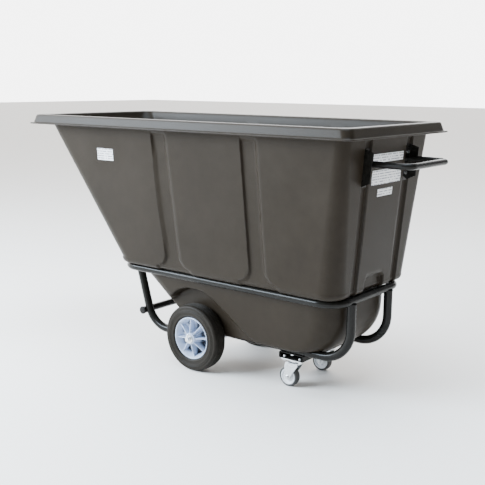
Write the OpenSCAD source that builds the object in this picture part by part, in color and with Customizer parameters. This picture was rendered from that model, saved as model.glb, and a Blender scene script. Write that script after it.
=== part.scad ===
// Tilt truck: a moulded one-piece hopper on a tubular frame, with two large
// wheels on a fixed axle near the dump end and two swivel casters under the handle end.
// +X points to the handle end, +Z up; the origin is on the floor under the middle.

/* [Overall] */
// Length over the dump lip and the push handle
overall_l = 1934; // [1860:1:2060]
// Length over the rim's lip
rim_l = 1812; // [1760:1:1860]
// Width over the rim's lip
rim_w = 816; // [780:1:870]
// Height of the rim's top face above the floor
rim_top_z = 1128; // [1080:1:1200]

/* [Rim] */
// Width of the flat outward lip under the rim's skirt
lip_w = 12; // [8:0.5:18]
// Thickness of the lip
lip_t = 6; // [4:0.5:8]
// Height of the rim from the lip's underside to its top face
rim_h = 44; // [36:1:60]
// How far the skirt leans inwards over its height
skirt_lean = 8; // [4:0.5:14]
// Width of the rim's flat top face
rim_face_w = 34; // [22:1:36]
// Corner radius of the lip, seen from above
rim_corner_r = 34; // [24:1:70]

/* [Hopper] */
// Thickness of the moulded wall
wall = 6; // [4:0.5:8]
// Overhang of the lip beyond the side walls
side_inset = 65; // [58:1:78]
// Overhang of the lip beyond the rear wall
rear_inset = 61; // [58:1:75]
// Overhang of the lip beyond the sloped front wall
front_inset = 79; // [60:1:95]
// Height of the shoulder where the upper part ends
shoulder_z = 484; // [474:1:520]
// Half width of the upper part at the shoulder
shoulder_hw = 300; // [290:1:320]
// Distance of the front wall from the lip at the shoulder
shoulder_front = 481; // [450:1:505]
// Distance of the rear wall from the lip at the shoulder
shoulder_rear = 113; // [100:1:125]
// Half width of the lower part just under the shoulder
belly_hw = 240; // [230:1:244]
// How far the lower part's sides lean in at the bottom
belly_lean = 36; // [20:1:44]
// Height of the lower part's bottom
belly_z = 176; // [172:1:190]
// Slope of the lower part's front, from the horizontal
belly_front_deg = 41; // [36:1:46]
// Radius of the curve that turns the rear wall into the bottom
belly_rear_r = 180; // [160:1:195]
// Depth of the channels between the raised wall panels
channel_d = 8; // [5:0.5:10]
// Width of a channel between two panels
channel_w = 76; // [60:1:90]
// Width of the two narrow grooves in the rear wall
groove_w = 48; // [46:1:56]
// Distance of a rear groove from the middle
groove_y = 167; // [160:1:175]

/* [Wheels] */
// Outer radius of a main tyre
wheel_r = 152.4; // [140:0.1:165]
// Width of a main tyre
wheel_w = 75; // [60:1:80]
// Distance of a main wheel's middle from the cart's middle
wheel_y = 232; // [228:1:250]
// Radius of the main axle
axle_r = 9.5; // [8:0.5:12]
// Radius of the hub's outer rim
hub_r = 96; // [88:1:102]
// Radius of the hub's boss
boss_r = 26; // [22:0.5:32]
// Number of spokes
spoke_n = 8; // [5:1:12]
// Radial running clearance of every shaft in its bore
running_gap = 0.05; // [0.02:0.01:0.09]

/* [Casters] */
// Outer radius of a caster wheel
caster_r = 44.5; // [38:0.5:50]
// Width of a caster wheel
caster_w = 32; // [26:1:36]
// Height from the floor to the caster's top face
caster_h = 130; // [122:1:136]
// Distance of a caster's swivel from the cart's middle
caster_y = 128; // [110:1:132]
// Offset of the wheel's axle behind the swivel
caster_trail = 28; // [20:1:32]
// Radius of the swivel pin
kingpin_r = 6; // [5:0.5:8]
// Radius of the wheel's axle bolt
caster_bolt_r = 5; // [4:0.5:6]
// Spacing of the plate's bolts along the cart
plate_bolt_x = 80; // [76:1:86]
// Spacing of the plate's bolts across the cart
plate_bolt_y = 46; // [42:1:50]

/* [Frame] */
// Outer radius of the rails and legs
rail_r = 19.05; // [16:0.05:20]
// Outer radius of the hoop around the hopper, and of the dump rest
hoop_r = 16.7; // [13:0.1:18]
// Wall of the frame tubes
tube_wall = 2.5; // [1.5:0.1:3]
// Height of the hopper's ledge, which rests on the hoop
ledge_z = 450; // [444:1:454]
// Half width of the hoop's centre line
hoop_hw = 262; // [261:1:266]
// Corner radius of the hoop's centre line
hoop_corner_r = 90; // [70:1:140]
// Distance of rails and legs from the cart's middle
rail_y = 150; // [144:1:151]
// Bend radius of the rails' rear ends
rail_bend_r = 130; // [120:1:134]
// Bend radius of the front legs
leg_bend_r = 130; // [120:1:140]
// Size of the box beam that carries the casters, along the cart
beam_l = 126; // [116:1:136]
// Half length of that beam, across the cart
beam_hw = 163; // [163:1:172]

/* [Handle] */
// Outer radius of the handle tube
handle_r = 12.7; // [11:0.1:14]
// Height of the handle's centre line
handle_z = 984; // [970:1:1000]
// Distance of a handle arm from the cart's middle
handle_y = 157; // [156:1:160]
// Bend radius of the handle's corners
handle_bend_r = 31; // [26:1:60]
// Height of a handle bracket
bracket_h = 150; // [140:1:160]
// Depth of a bracket's side flange
bracket_d = 42; // [34:1:50]

/* [Hidden] */

$fn = 64;
ring_fn = 8;             // steps in each rounded corner of the hopper
touch = 0.2;             // gap left between faces that meet
paint_black = "#17181a";
poly_black = "#2b2b2c";
zinc = "#c9cdd0";

// ends of the rim's lip and main places along the cart
rim_front = -overall_l / 2;
rim_rear = rim_front + rim_l;
axle_x = rim_front + 926;
axle_z = wheel_r;
caster_x = axle_x + 480;
hoop_front = rim_front + 492;
hoop_rear = rim_rear - 128;
hoop_z = ledge_z - hoop_r - touch - 0.3;
rail_x = hoop_rear + 3;
beam_z = caster_h;
beam_h = 28;
beam_wall = 4;
rail_z = beam_z + beam_h + rail_r + touch;
tunnel_z = rail_z + rail_r + 1;   // underside of the floor above the rails
tunnel_hw = rail_y + rail_r + 3;
leg_z = axle_z - axle_r - rail_r - 1;

// the lower part of the hopper
belly_top_front = hoop_front + hoop_r + 8;
belly_top_rear = hoop_rear - hoop_r - 6;
belly_corner_r = 125;
body_top_z = rim_top_z - rim_h - lip_t;
upper_slope = (shoulder_front - front_inset) / (body_top_z - shoulder_z);

// rings of the hopper: [height, front, rear, half width, front corner, rear corner]
function upper_ring(z, t) =
    let (f = (body_top_z - z) / (body_top_z - shoulder_z))
    [
        z,
        rim_front + front_inset + upper_slope * (body_top_z - z) + 1.21 * t,
        rim_rear - rear_inset - (shoulder_rear - rear_inset) * f - t,
        rim_w / 2 - side_inset - (rim_w / 2 - side_inset - shoulder_hw) * f - t,
        68 + 17 * f - t,
        48 + 32 * f - t
    ];
function belly_rear(z, t) =
    let (r = belly_rear_r - t, drop = max(belly_z + belly_rear_r - z, 0))
    belly_top_rear - belly_rear_r + sqrt(max(r * r - drop * drop, 0));
function belly_ring(z, t) =
    let (f = (ledge_z - z) / (ledge_z - belly_z))
    [
        z,
        belly_top_front + (ledge_z - z) / tan(belly_front_deg) + t / sin(belly_front_deg),
        belly_rear(z, t),
        belly_hw - belly_lean * f - t,
        belly_corner_r - 15 * f - t,
        belly_corner_r - 15 * f - t
    ];
// a ring moved in by d all round, at its own height
function shrink(r, d, z) = [z, r[1] + d, r[2] - d, r[3] - d, max(r[4] - d, 8), max(r[5] - d, 8)];
// a ring of the rim, measured in from the lip's edge
function rim_ring(inset, z) =
    [z, rim_front + inset, rim_rear - inset, rim_w / 2 - inset, rim_corner_r + inset / 4, rim_corner_r + inset / 4];

shoulder_r = 24;
bottom_r = 22;
rear_curve = [for (k = [0.12, 0.26, 0.42, 0.6, 0.8, 1]) k * belly_rear_r];

function reversed(list) = [for (i = [len(list) - 1:-1:0]) list[i]];

outer_rings = concat(
    reversed([for (a = [0, 30, 60, 90]) let (z = belly_z + bottom_r * (1 - sin(a)))
        shrink(belly_ring(z, 0), bottom_r * (1 - cos(a)), z)]),
    [for (z = rear_curve) if (z > bottom_r + 4 && belly_z + z < ledge_z - 20) belly_ring(belly_z + z, 0)],
    [belly_ring(ledge_z - 8, 0), shrink(belly_ring(ledge_z, 0), -3, ledge_z)],
    [for (a = [0, 30, 60, 90]) let (z = ledge_z + 1 + shoulder_r * (1 - cos(a)))
        shrink(upper_ring(shoulder_z, 0), shoulder_r * (1 - sin(a)), z)],
    [upper_ring((shoulder_z + body_top_z) / 2, 0), upper_ring(body_top_z, 0)]
);
rim_rings = [
    rim_ring(side_inset - 3, rim_top_z - wall),
    rim_ring(lip_w + skirt_lean + wall, rim_top_z - wall),
    rim_ring(lip_w + wall, rim_top_z - rim_h),
    rim_ring(0, rim_top_z - rim_h),
    rim_ring(0, rim_top_z - rim_h + lip_t),
    rim_ring(lip_w, rim_top_z - rim_h + lip_t),
    rim_ring(lip_w + skirt_lean, rim_top_z - 4),
    rim_ring(lip_w + skirt_lean + 4, rim_top_z),
    rim_ring(lip_w + skirt_lean + 4 + rim_face_w, rim_top_z),
    rim_ring(lip_w + skirt_lean + 12 + rim_face_w, rim_top_z - 4)
];
inner_rings = concat(
    [upper_ring(body_top_z, wall), upper_ring((shoulder_z + body_top_z) / 2, wall),
     upper_ring(shoulder_z, wall)],
    [for (a = [60, 30, 0]) let (z = ledge_z + wall + shoulder_r * (1 - cos(a)))
        shrink(upper_ring(shoulder_z, wall), shoulder_r * (1 - sin(a)), z)],
    [shrink(belly_ring(ledge_z, wall), -1, ledge_z + wall - 1), belly_ring(ledge_z - 10, wall)],
    reversed([for (z = rear_curve) if (z > bottom_r + 4 && belly_z + z < ledge_z - 20)
        belly_ring(belly_z + z, wall)]),
    [for (a = [0, 30, 60, 90]) let (z = belly_z + wall + bottom_r * (1 - sin(a)))
        shrink(belly_ring(z, wall), bottom_r * (1 - cos(a)), z)]
);

// points of one ring: four straight sides and four rounded corners
function corner(cx, cy, r, a0) =
    [for (k = [0:ring_fn]) [cx + r * cos(a0 + 90 * k / ring_fn), cy + r * sin(a0 + 90 * k / ring_fn)]];
function ring_points(r) =
    let (
        p = concat(
            corner(r[2] - r[5], r[3] - r[5], r[5], 0),
            corner(r[1] + r[4], r[3] - r[4], r[4], 90),
            corner(r[1] + r[4], -r[3] + r[4], r[4], 180),
            corner(r[2] - r[5], -r[3] + r[5], r[5], 270)
        )
    )
    [for (q = p) [q[0], q[1], r[0]]];
ring_n = 4 * (ring_fn + 1);

// a closed solid through a stack of rings, capped at both ends
module ring_stack(rings) {
    m = len(rings);
    points = [for (r = rings) each ring_points(r)];
    faces = concat(
        [for (i = [0:m - 2]) for (j = [0:ring_n - 1]) let (j1 = (j + 1) % ring_n)
            each [[i * ring_n + j, (i + 1) * ring_n + j, (i + 1) * ring_n + j1],
                  [i * ring_n + j, (i + 1) * ring_n + j1, i * ring_n + j1]]],
        [[for (j = [0:ring_n - 1]) j]],
        [[for (j = [ring_n - 1:-1:0]) (m - 1) * ring_n + j]]
    );
    polyhedron(points, faces);
}

// half width of the upper side wall, and place of the upper rear wall, at a height
function side_wall(z) = upper_ring(z, 0)[3];
function rear_wall(z) = upper_ring(z, 0)[2];
side_lean = atan((side_wall(body_top_z) - side_wall(shoulder_z)) / (body_top_z - shoulder_z));
rear_lean = atan((rear_wall(body_top_z) - rear_wall(shoulder_z)) / (body_top_z - shoulder_z));

// turns an outline drawn in X and Z into a slab from y0 to y1
module xz_slab(y0, y1)
    translate([0, y1, 0]) rotate([90, 0, 0]) linear_extrude(y1 - y0) children();

// wheel wells: a round arch over the wheel and a straight slope behind it
well_r = wheel_r + 40;
well_cx = axle_x - 15;
well_cz = axle_z + 26;
well_deg = 36;
well_hw = wheel_y - wheel_w / 2 - 10;
module well_outline(g) {
    r = well_r + g;
    top = [well_cx + r * sin(well_deg), well_cz + r * cos(well_deg)];
    drop = top[1] - (belly_z - 40);
    translate([well_cx, well_cz]) circle(r);
    polygon([[rim_front + 400, belly_z - 40], [well_cx - r, belly_z - 40], [well_cx - r, well_cz],
             [well_cx, well_cz + r - 1], top, [top[0] + drop / tan(well_deg), belly_z - 40]]);
}
module wells(g)
    for (s = [-1, 1])
        xz_slab(s > 0 ? well_hw - g : -rim_w / 2, s > 0 ? rim_w / 2 : -well_hw + g) well_outline(g);

// the step in the floor that the rails lie in
module tunnel(g)
    translate([rim_front, -tunnel_hw - g, belly_z - 40]) cube([rim_l, 2 * (tunnel_hw + g), tunnel_z - belly_z + 40 + g]);

// grooves beside the middle rear panel, which the handle brackets sit in
module rear_strip(z0, z1, depth)
    polygon([[rear_wall(z0) - depth, z0], [rear_wall(z0) + 30, z0],
             [rear_wall(z1) + 15, z1], [rear_wall(z1) - depth, z1]]);
module grooves(g)
    for (s = [-1, 1])
        xz_slab(s * groove_y - groove_w / 2 - g, s * groove_y + groove_w / 2 + g)
            rear_strip(ledge_z - 6, body_top_z - 2 + g / 3, channel_d + g);

// channels between the raised panels of the side walls, as [x at the top, x at the bottom]
side_channels = [[axle_x - 122, axle_x - 72], [axle_x + 374, axle_x + 400]];
module channels(g)
    for (c = side_channels, s = [-1, 1])
        intersection() {
            xz_slab(-rim_w, rim_w)
                polygon([[c[1] - channel_w / 2 - g, ledge_z - 6], [c[1] + channel_w / 2 + g, ledge_z - 6],
                         [c[0] + channel_w / 2 + g, body_top_z - 2 + g / 3],
                         [c[0] - channel_w / 2 - g, body_top_z - 2 + g / 3]]);
            translate([rim_front, 0, 0]) rotate([90, 0, 90]) linear_extrude(rim_l)
                polygon([for (p = [[0, -channel_d - g], [0, 30], [1, 15], [1, -channel_d - g]])
                    let (z = p[0] > 0 ? body_top_z + 4 : ledge_z - 8) [s * (side_wall(z) + p[1]), z]]);
        }

// arched recess at the foot of the middle rear panel
recess_hw = 78;
recess_z = shoulder_z + 34;
module recess(g)
    intersection() {
        xz_slab(-recess_hw - g, recess_hw + g) rear_strip(ledge_z - 6, recess_z + g, channel_d + g);
        translate([rim_front, 0, 0]) rotate([90, 0, 90]) linear_extrude(rim_l) {
            translate([-recess_hw - g, 0]) square([2 * (recess_hw + g), recess_z - 20]);
            translate([-recess_hw + 20, 0]) square([2 * (recess_hw - 20), recess_z + g]);
            for (s = [-1, 1]) translate([s * (recess_hw - 20), recess_z - 20]) circle(20 + g);
        }
    }
module recesses(g) {
    wells(g);
    tunnel(g);
    grooves(g);
    channels(g);
    recess(g);
}

// places of the bolts that go through the hopper
bolt_r = 4;
bolt_hole_r = 4.3;
handle_bolt_z = [handle_z - 58, handle_z + 28];
frame_bolt_x = [axle_x + 110, caster_x];

module hopper()
    color(poly_black) difference() {
        union() {
            ring_stack(concat(outer_rings, rim_rings, inner_rings));
            intersection() {
                ring_stack(outer_rings);
                recesses(wall);
            }
        }
        recesses(0);
        for (s = [-1, 1], z = handle_bolt_z)
            translate([rear_wall(z) - channel_d, s * groove_y, z]) rotate([0, 90 + rear_lean, 0])
                cylinder(r = bolt_hole_r, h = 60, center = true);
        for (s = [-1, 1], x = frame_bolt_x)
            translate([x, s * rail_y, tunnel_z - 2]) cylinder(r = bolt_hole_r, h = wall + 6);
    }

// stands a piece drawn along +Z on a point, lying along +Y
module along_y(x, y, z) translate([x, y, z]) rotate([-90, 0, 0]) children();
// a length of round tube along +Z from the origin
module pipe(r, bore, h)
    difference() {
        cylinder(r = r, h = h);
        if (bore > 0) translate([0, 0, -1]) cylinder(r = bore, h = h + 2);
    }
// a bend of round tube in the XY plane about the origin, from angle 0 to deg
module elbow(r, bore, bend_r, deg)
    rotate_extrude(angle = deg) translate([bend_r, 0]) difference() {
        circle(r);
        if (bore > 0) circle(bore);
    }

hoop_mid = (hoop_front + hoop_rear) / 2;
hoop_hl = (hoop_rear - hoop_front) / 2;
module hoop_path(r, bore)
    translate([hoop_mid, 0, hoop_z]) for (s = [-1, 1]) {
        for (t = [-1, 1])
            translate([s * (hoop_hl - hoop_corner_r), t * (hoop_hw - hoop_corner_r), 0])
                rotate([0, 0, s > 0 ? (t > 0 ? 0 : -90) : (t > 0 ? 90 : 180)]) elbow(r, bore, hoop_corner_r, 90);
        translate([-hoop_hl + hoop_corner_r, s * hoop_hw, 0]) rotate([0, 90, 0])
            pipe(r, bore, 2 * (hoop_hl - hoop_corner_r));
        translate([s * hoop_hl, hoop_hw - hoop_corner_r, 0]) rotate([90, 0, 0])
            pipe(r, bore, 2 * (hoop_hw - hoop_corner_r));
    }
module frame_hoop() color(paint_black) hoop_path(hoop_r, hoop_r - tube_wall);

rail_bore = rail_r - tube_wall;
rail_start = axle_x - 62;
module rail(s)
    color(paint_black) difference() {
        translate([0, s * rail_y, 0]) {
            translate([rail_start, 0, rail_z]) rotate([0, 90, 0])
                pipe(rail_r, rail_bore, rail_x - rail_bend_r - rail_start);
            translate([rail_x - rail_bend_r, 0, rail_z + rail_bend_r]) rotate([90, 0, 0]) rotate([0, 0, -90])
                elbow(rail_r, rail_bore, rail_bend_r, 90);
            translate([rail_x, 0, rail_z + rail_bend_r]) pipe(rail_r, rail_bore, hoop_z - rail_z - rail_bend_r);
        }
        hoop_path(hoop_r + touch, 0);
        along_y(axle_x, -rim_w / 2, axle_z) cylinder(r = axle_r + touch, h = rim_w);
        for (x = frame_bolt_x) translate([x, s * rail_y, rail_z - 30]) cylinder(r = bolt_hole_r, h = 60);
    }
module rail_left() rail(-1);
module rail_right() rail(1);

leg_deg = atan2(7, 24);
leg_cx = axle_x - 248;
leg_cz = leg_z + leg_bend_r;
leg_end = axle_x + 48;
leg_h = (hoop_z - leg_cz) / cos(leg_deg) + leg_bend_r * tan(leg_deg);
module leg_frame() translate([leg_cx, 0, leg_cz]) rotate([0, -leg_deg, 0]) children();
module leg_path(r, bore) {
    translate([leg_cx, 0, leg_z]) rotate([0, 90, 0]) pipe(r, bore, leg_end - leg_cx);
    difference() {
        translate([leg_cx, 0, leg_cz]) rotate([90, 0, 0]) rotate([0, 0, 180]) elbow(r, bore, leg_bend_r, 90);
        leg_frame() translate([-leg_bend_r - 50, -50, 0]) cube([leg_bend_r + 100, 100, 100]);
    }
    leg_frame() translate([-leg_bend_r, 0, 0]) pipe(r, bore, leg_h);
}
// cross tube let into the front of the legs, which the cart rests on when it is tipped
dump_r = hoop_r;
dump_deg = 22;
dump_hl = rail_y + rail_r + 6;
dump_sunk = 12;          // how deep the cross tube is let into a leg
dump_reach = leg_bend_r + rail_r + dump_r - dump_sunk;
dump_x = leg_cx - dump_reach * cos(dump_deg);
dump_z = leg_cz - dump_reach * sin(dump_deg);
module leg(s)
    color(paint_black) difference() {
        translate([0, s * rail_y, 0]) leg_path(rail_r, rail_bore);
        hoop_path(hoop_r + touch, 0);
        along_y(dump_x, -rim_w / 2, dump_z) cylinder(r = dump_r + touch, h = rim_w);
    }
module leg_left() leg(-1);
module leg_right() leg(1);

module dump_rest_tube()
    color(paint_black) translate([dump_x, dump_hl, dump_z]) rotate([90, 0, 0])
        pipe(dump_r, dump_r - tube_wall, 2 * dump_hl);
module dump_rest_caps()
    color("#0f0f10") for (s = [-1, 1]) translate([dump_x, s * dump_hl, dump_z]) rotate([-90 * s, 0, 0]) {
        cylinder(r = dump_r + 2, h = 7);
        translate([0, 0, -14]) cylinder(r = dump_r - tube_wall - touch, h = 16);
    }

module plate_bolt_spots()
    for (s = [-1, 1], i = [-1, 1], j = [-1, 1])
        translate([caster_x + i * plate_bolt_x / 2, s * caster_y + j * plate_bolt_y / 2, 0]) children();
module caster_beam()
    color(paint_black) difference() {
        translate([caster_x - beam_l / 2, -beam_hw, beam_z]) cube([beam_l, 2 * beam_hw, beam_h]);
        translate([caster_x - beam_l / 2 + beam_wall, -beam_hw - 1, beam_z + beam_wall])
            cube([beam_l - 2 * beam_wall, 2 * beam_hw + 2, beam_h - 2 * beam_wall]);
        plate_bolt_spots() translate([0, 0, beam_z - 1]) cylinder(r = 4.8, h = beam_wall + 2);
        for (s = [-1, 1]) translate([caster_x, s * rail_y, beam_z + beam_h - beam_wall - 1])
            cylinder(r = bolt_hole_r, h = beam_wall + 2);
    }

// u-shaped bracket that ties a rail, the axle and a leg together
bracket_t = 6;
bracket_hl = 46;
module axle_bracket(s)
    color(paint_black) translate([axle_x, s * rail_y, 0]) difference() {
        z0 = leg_z - rail_r - touch - bracket_t;
        hw = rail_r + touch + bracket_t;
        translate([-bracket_hl, -hw, z0]) cube([2 * bracket_hl, 2 * hw, belly_z - 2 - z0]);
        translate([-bracket_hl - 1, -hw + bracket_t, z0 + bracket_t])
            cube([2 * bracket_hl + 2, 2 * (hw - bracket_t), 200]);
        translate([0, 0, axle_z]) rotate([90, 0, 0]) cylinder(r = axle_r + 0.1, h = 4 * hw, center = true);
    }
module axle_bracket_left() axle_bracket(-1);
module axle_bracket_right() axle_bracket(1);

hub_hw = 40;
axle_hl = wheel_y + hub_hw + 20;
module axle()
    color(zinc) difference() {
        along_y(axle_x, -axle_hl, axle_z) cylinder(r = axle_r, h = 2 * axle_hl);
        for (s = [-1, 1]) translate([axle_x, s * (axle_hl - 8), axle_z]) cylinder(r = 2.2, h = 40, center = true);
    }
spacer_y0 = rail_y + rail_r + 2 * touch + bracket_t;
module axle_spacers()
    color(zinc) for (s = [-1, 1])
        along_y(axle_x, s > 0 ? spacer_y0 : -wheel_y + hub_hw + touch, axle_z)
            pipe(axle_r + 4.5, axle_r + running_gap, wheel_y - hub_hw - touch - spacer_y0);
washer_t = 3;
module axle_washers()
    color(zinc) for (s = [-1, 1])
        along_y(axle_x, s * (wheel_y + hub_hw + touch + washer_t / 2) - washer_t / 2, axle_z)
            pipe(19, axle_r + running_gap, washer_t);
// split pins through the axle's ends
module axle_pins()
    color(zinc) for (s = [-1, 1]) translate([axle_x, s * (axle_hl - 8), axle_z]) {
        translate([0, 0, -16]) cylinder(r = 2, h = 32);
        translate([0, 0, 18]) rotate([90, 0, 0]) rotate_extrude() translate([3.4, 0]) circle(1.4);
    }

bush_r = 15;
module hub(s)
    color("#b9c4d2") translate([axle_x, s * wheel_y, axle_z]) rotate([-90, 0, 0]) {
        translate([0, 0, -hub_hw]) pipe(boss_r, bush_r, 2 * hub_hw);
        translate([0, 0, -31]) pipe(hub_r, hub_r - 9, 62);
        translate([0, 0, -4]) pipe(hub_r - 4, boss_r - 2, 8);
        for (k = [0:spoke_n - 1]) rotate([0, 0, 360 * k / spoke_n + 11]) translate([boss_r - 2, -6, -26])
            cube([hub_r - boss_r - 4, 12, 52]);
    }
module hub_left() hub(-1);
module hub_right() hub(1);
module bush(s)
    color("#8f979f") along_y(axle_x, s * wheel_y - hub_hw, axle_z)
        pipe(bush_r - 0.02, axle_r + running_gap, 2 * hub_hw);
module bush_left() bush(-1);
module bush_right() bush(1);

// tread: a flat crown with four grooves, and round shoulders
tyre_bore = hub_r + touch;
shoulder_arc = 17;
groove_half = 2.5;
tread_grooves = [-21, -7, 7, 21];
function tread_edge(y) = [[wheel_r, y - groove_half], [wheel_r - 4, y - groove_half + 1],
                          [wheel_r - 4, y + groove_half - 1], [wheel_r, y + groove_half]];
tyre_outline = concat(
    [[tyre_bore, -29], [tyre_bore + 14, -wheel_w / 2 + 2]],
    [for (a = [0:18:90]) [wheel_r - 1 - shoulder_arc + shoulder_arc * sin(a),
                          -wheel_w / 2 + shoulder_arc - shoulder_arc * cos(a)]],
    [for (y = tread_grooves) each tread_edge(y)],
    [for (a = [90:-18:0]) [wheel_r - 1 - shoulder_arc + shoulder_arc * sin(a),
                           wheel_w / 2 - shoulder_arc + shoulder_arc * cos(a)]],
    [[tyre_bore + 14, wheel_w / 2 - 2], [tyre_bore, 29]]
);
module tyre(s)
    color("#1c1c1d") translate([axle_x, s * wheel_y, axle_z]) rotate([-90, 0, 0])
        rotate_extrude($fn = 96) polygon(tyre_outline);
module tyre_left() tyre(-1);
module tyre_right() tyre(1);

// casters, drawn about the swivel's axis
plate_t = 5;
fork_top = caster_h - plate_t - 12;
fork_t = 4;
fork_gap = caster_w / 2 + 2.5;
head_h = 5;
module at_caster(s) translate([caster_x, s * caster_y, 0]) children();
module caster_plate(s)
    color(zinc) at_caster(s) difference() {
        union() {
            translate([-52, -33, caster_h - plate_t - touch]) cube([104, 66, plate_t]);
            translate([0, 0, fork_top + 6.1]) cylinder(r = 27, h = 6);
        }
        translate([0, 0, fork_top]) cylinder(r = kingpin_r, h = 40);
        for (i = [-1, 1], j = [-1, 1]) translate([i * plate_bolt_x / 2, j * plate_bolt_y / 2, fork_top])
            cylinder(r = 4.8, h = 40);
    }
module caster_plate_left() caster_plate(-1);
module caster_plate_right() caster_plate(1);
module kingpin(s)
    color(zinc) at_caster(s) {
        translate([0, 0, fork_top - 6 - head_h - touch]) cylinder(r = 11, h = head_h);
        translate([0, 0, fork_top - 6 - touch - 1]) cylinder(r = kingpin_r - 0.02, h = caster_h - fork_top + 6);
    }
module kingpin_left() kingpin(-1);
module kingpin_right() kingpin(1);
module caster_balls(s)
    color("#8b9095") at_caster(s)
        for (k = [0:11]) rotate([0, 0, 30 * k]) translate([20, 0, fork_top + 3.05]) sphere(r = 2.9, $fn = 24);
module caster_balls_left() caster_balls(-1);
module caster_balls_right() caster_balls(1);
function fork_tangent(a) = [-caster_trail + 12 * cos(a), caster_r + 12 * sin(a)];
module caster_fork(s)
    color(zinc) at_caster(s) difference() {
        union() {
            translate([0, 0, fork_top - 6]) cylinder(r = 31, h = 6);
            translate([-31, -fork_gap - fork_t, fork_top - 6]) cube([50, 2 * (fork_gap + fork_t), 6]);
            for (j = [-1, 1])
                xz_slab(j > 0 ? fork_gap : -fork_gap - fork_t, j > 0 ? fork_gap + fork_t : -fork_gap) {
                    translate([-caster_trail, caster_r]) circle(12);
                    polygon([fork_tangent(-42), [24, fork_top - 12], [24, fork_top], [-34, fork_top],
                             [-42, fork_top - 18], fork_tangent(180)]);
                }
        }
        translate([0, 0, fork_top - 10]) cylinder(r = kingpin_r + running_gap, h = 30);
        translate([-caster_trail, 0, caster_r]) rotate([90, 0, 0])
            cylinder(r = caster_bolt_r + 0.1, h = 100, center = true);
    }
module caster_fork_left() caster_fork(-1);
module caster_fork_right() caster_fork(1);
module caster_axle(s)
    color(zinc) at_caster(s) translate([-caster_trail, 0, caster_r]) rotate([-90, 0, 0]) {
        end = fork_gap + fork_t + touch;
        translate([0, 0, -end - 4]) cylinder(r = caster_bolt_r, h = 2 * end + 12);
        translate([0, 0, -end - head_h]) cylinder(r = 8, h = head_h, $fn = 6);
        translate([0, 0, end]) cylinder(r = 8, h = 6, $fn = 6);
    }
module caster_axle_left() caster_axle(-1);
module caster_axle_right() caster_axle(1);
core_r = caster_r - 9;
module at_caster_wheel(s)
    at_caster(s) translate([-caster_trail, 0, caster_r]) rotate([-90, 0, 0]) children();
module caster_core(s)
    color("#d9dcdf") at_caster_wheel(s) rotate_extrude() polygon([
        [caster_bolt_r + running_gap, -caster_w / 2 - 1.5], [14, -caster_w / 2 - 1.5], [16, -caster_w / 2 + 4],
        [core_r - 7, -caster_w / 2 + 5], [core_r - 5, -caster_w / 2 + 1], [core_r, -caster_w / 2 + 1],
        [core_r, caster_w / 2 - 1], [core_r - 5, caster_w / 2 - 1], [core_r - 7, caster_w / 2 - 5],
        [16, caster_w / 2 - 4], [14, caster_w / 2 + 1.5], [caster_bolt_r + running_gap, caster_w / 2 + 1.5]
    ]);
module caster_core_left() caster_core(-1);
module caster_core_right() caster_core(1);
tread_arc = 6;
module caster_tread(s)
    color("#202022") at_caster_wheel(s) rotate_extrude() polygon(concat(
        [[core_r + touch, -caster_w / 2]],
        [for (a = [0:18:90]) [caster_r - tread_arc + tread_arc * sin(a), -caster_w / 2 + tread_arc * (1 - cos(a))]],
        [for (a = [90:-18:0]) [caster_r - tread_arc + tread_arc * sin(a), caster_w / 2 - tread_arc * (1 - cos(a))]],
        [[core_r + touch, caster_w / 2]]
    ));
module caster_tread_left() caster_tread(-1);
module caster_tread_right() caster_tread(1);
module caster_bolts()
    color(zinc) plate_bolt_spots() {
        translate([0, 0, caster_h - plate_t - 2 * touch - 6]) cylinder(r = 7.5, h = 6, $fn = 6);
        translate([0, 0, caster_h - plate_t - 2 * touch - 1]) cylinder(r = 4.5, h = 18);
        translate([0, 0, beam_z + beam_wall + touch]) cylinder(r = 7.5, h = 6, $fn = 6);
    }

// handle: two arms and a crossbar, welded to brackets in the rear grooves
plate_y = 21;
plate_x = 4;
handle_x = overall_l / 2 - handle_r;
module at_rear_groove(s, z)
    translate([rear_wall(z) - channel_d, s * groove_y, z]) rotate([0, rear_lean, 0]) children();
module handle_tube()
    color(paint_black) difference() {
        for (s = [-1, 1]) {
            translate([rear_wall(handle_z) - 30, s * handle_y, handle_z]) rotate([0, 90, 0])
                pipe(handle_r, handle_r - tube_wall, handle_x - handle_bend_r - rear_wall(handle_z) + 30);
            translate([handle_x - handle_bend_r, s * (handle_y - handle_bend_r), handle_z])
                rotate([0, 0, s > 0 ? 0 : -90]) elbow(handle_r, handle_r - tube_wall, handle_bend_r, 90);
            if (s > 0) translate([handle_x, handle_y - handle_bend_r, handle_z]) rotate([90, 0, 0])
                pipe(handle_r, handle_r - tube_wall, 2 * (handle_y - handle_bend_r));
        }
        at_rear_groove(0, handle_z) translate([-100, -rim_w / 2, -200]) cube([100 + plate_x + 2 * touch, rim_w, 400]);
    }
module handle_bracket(s)
    color(paint_black) difference() {
        at_rear_groove(s, handle_z) mirror([0, s > 0 ? 0 : 1, 0]) {
            translate([touch, -plate_y, -bracket_h / 2 - 15]) cube([plate_x, 2 * plate_y, bracket_h]);
            xz_slab(plate_y - 4, plate_y)
                polygon([[touch, bracket_h / 2 - 15], [bracket_d, bracket_h / 2 - 25],
                         [bracket_d, -bracket_h / 2 + 8], [touch, -bracket_h / 2 - 15]]);
        }
        for (z = handle_bolt_z) at_rear_groove(s, z) translate([-5, 0, 0]) rotate([0, 90, 0])
            cylinder(r = bolt_hole_r, h = 20);
    }
module handle_bracket_left() handle_bracket(-1);
module handle_bracket_right() handle_bracket(1);
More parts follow.
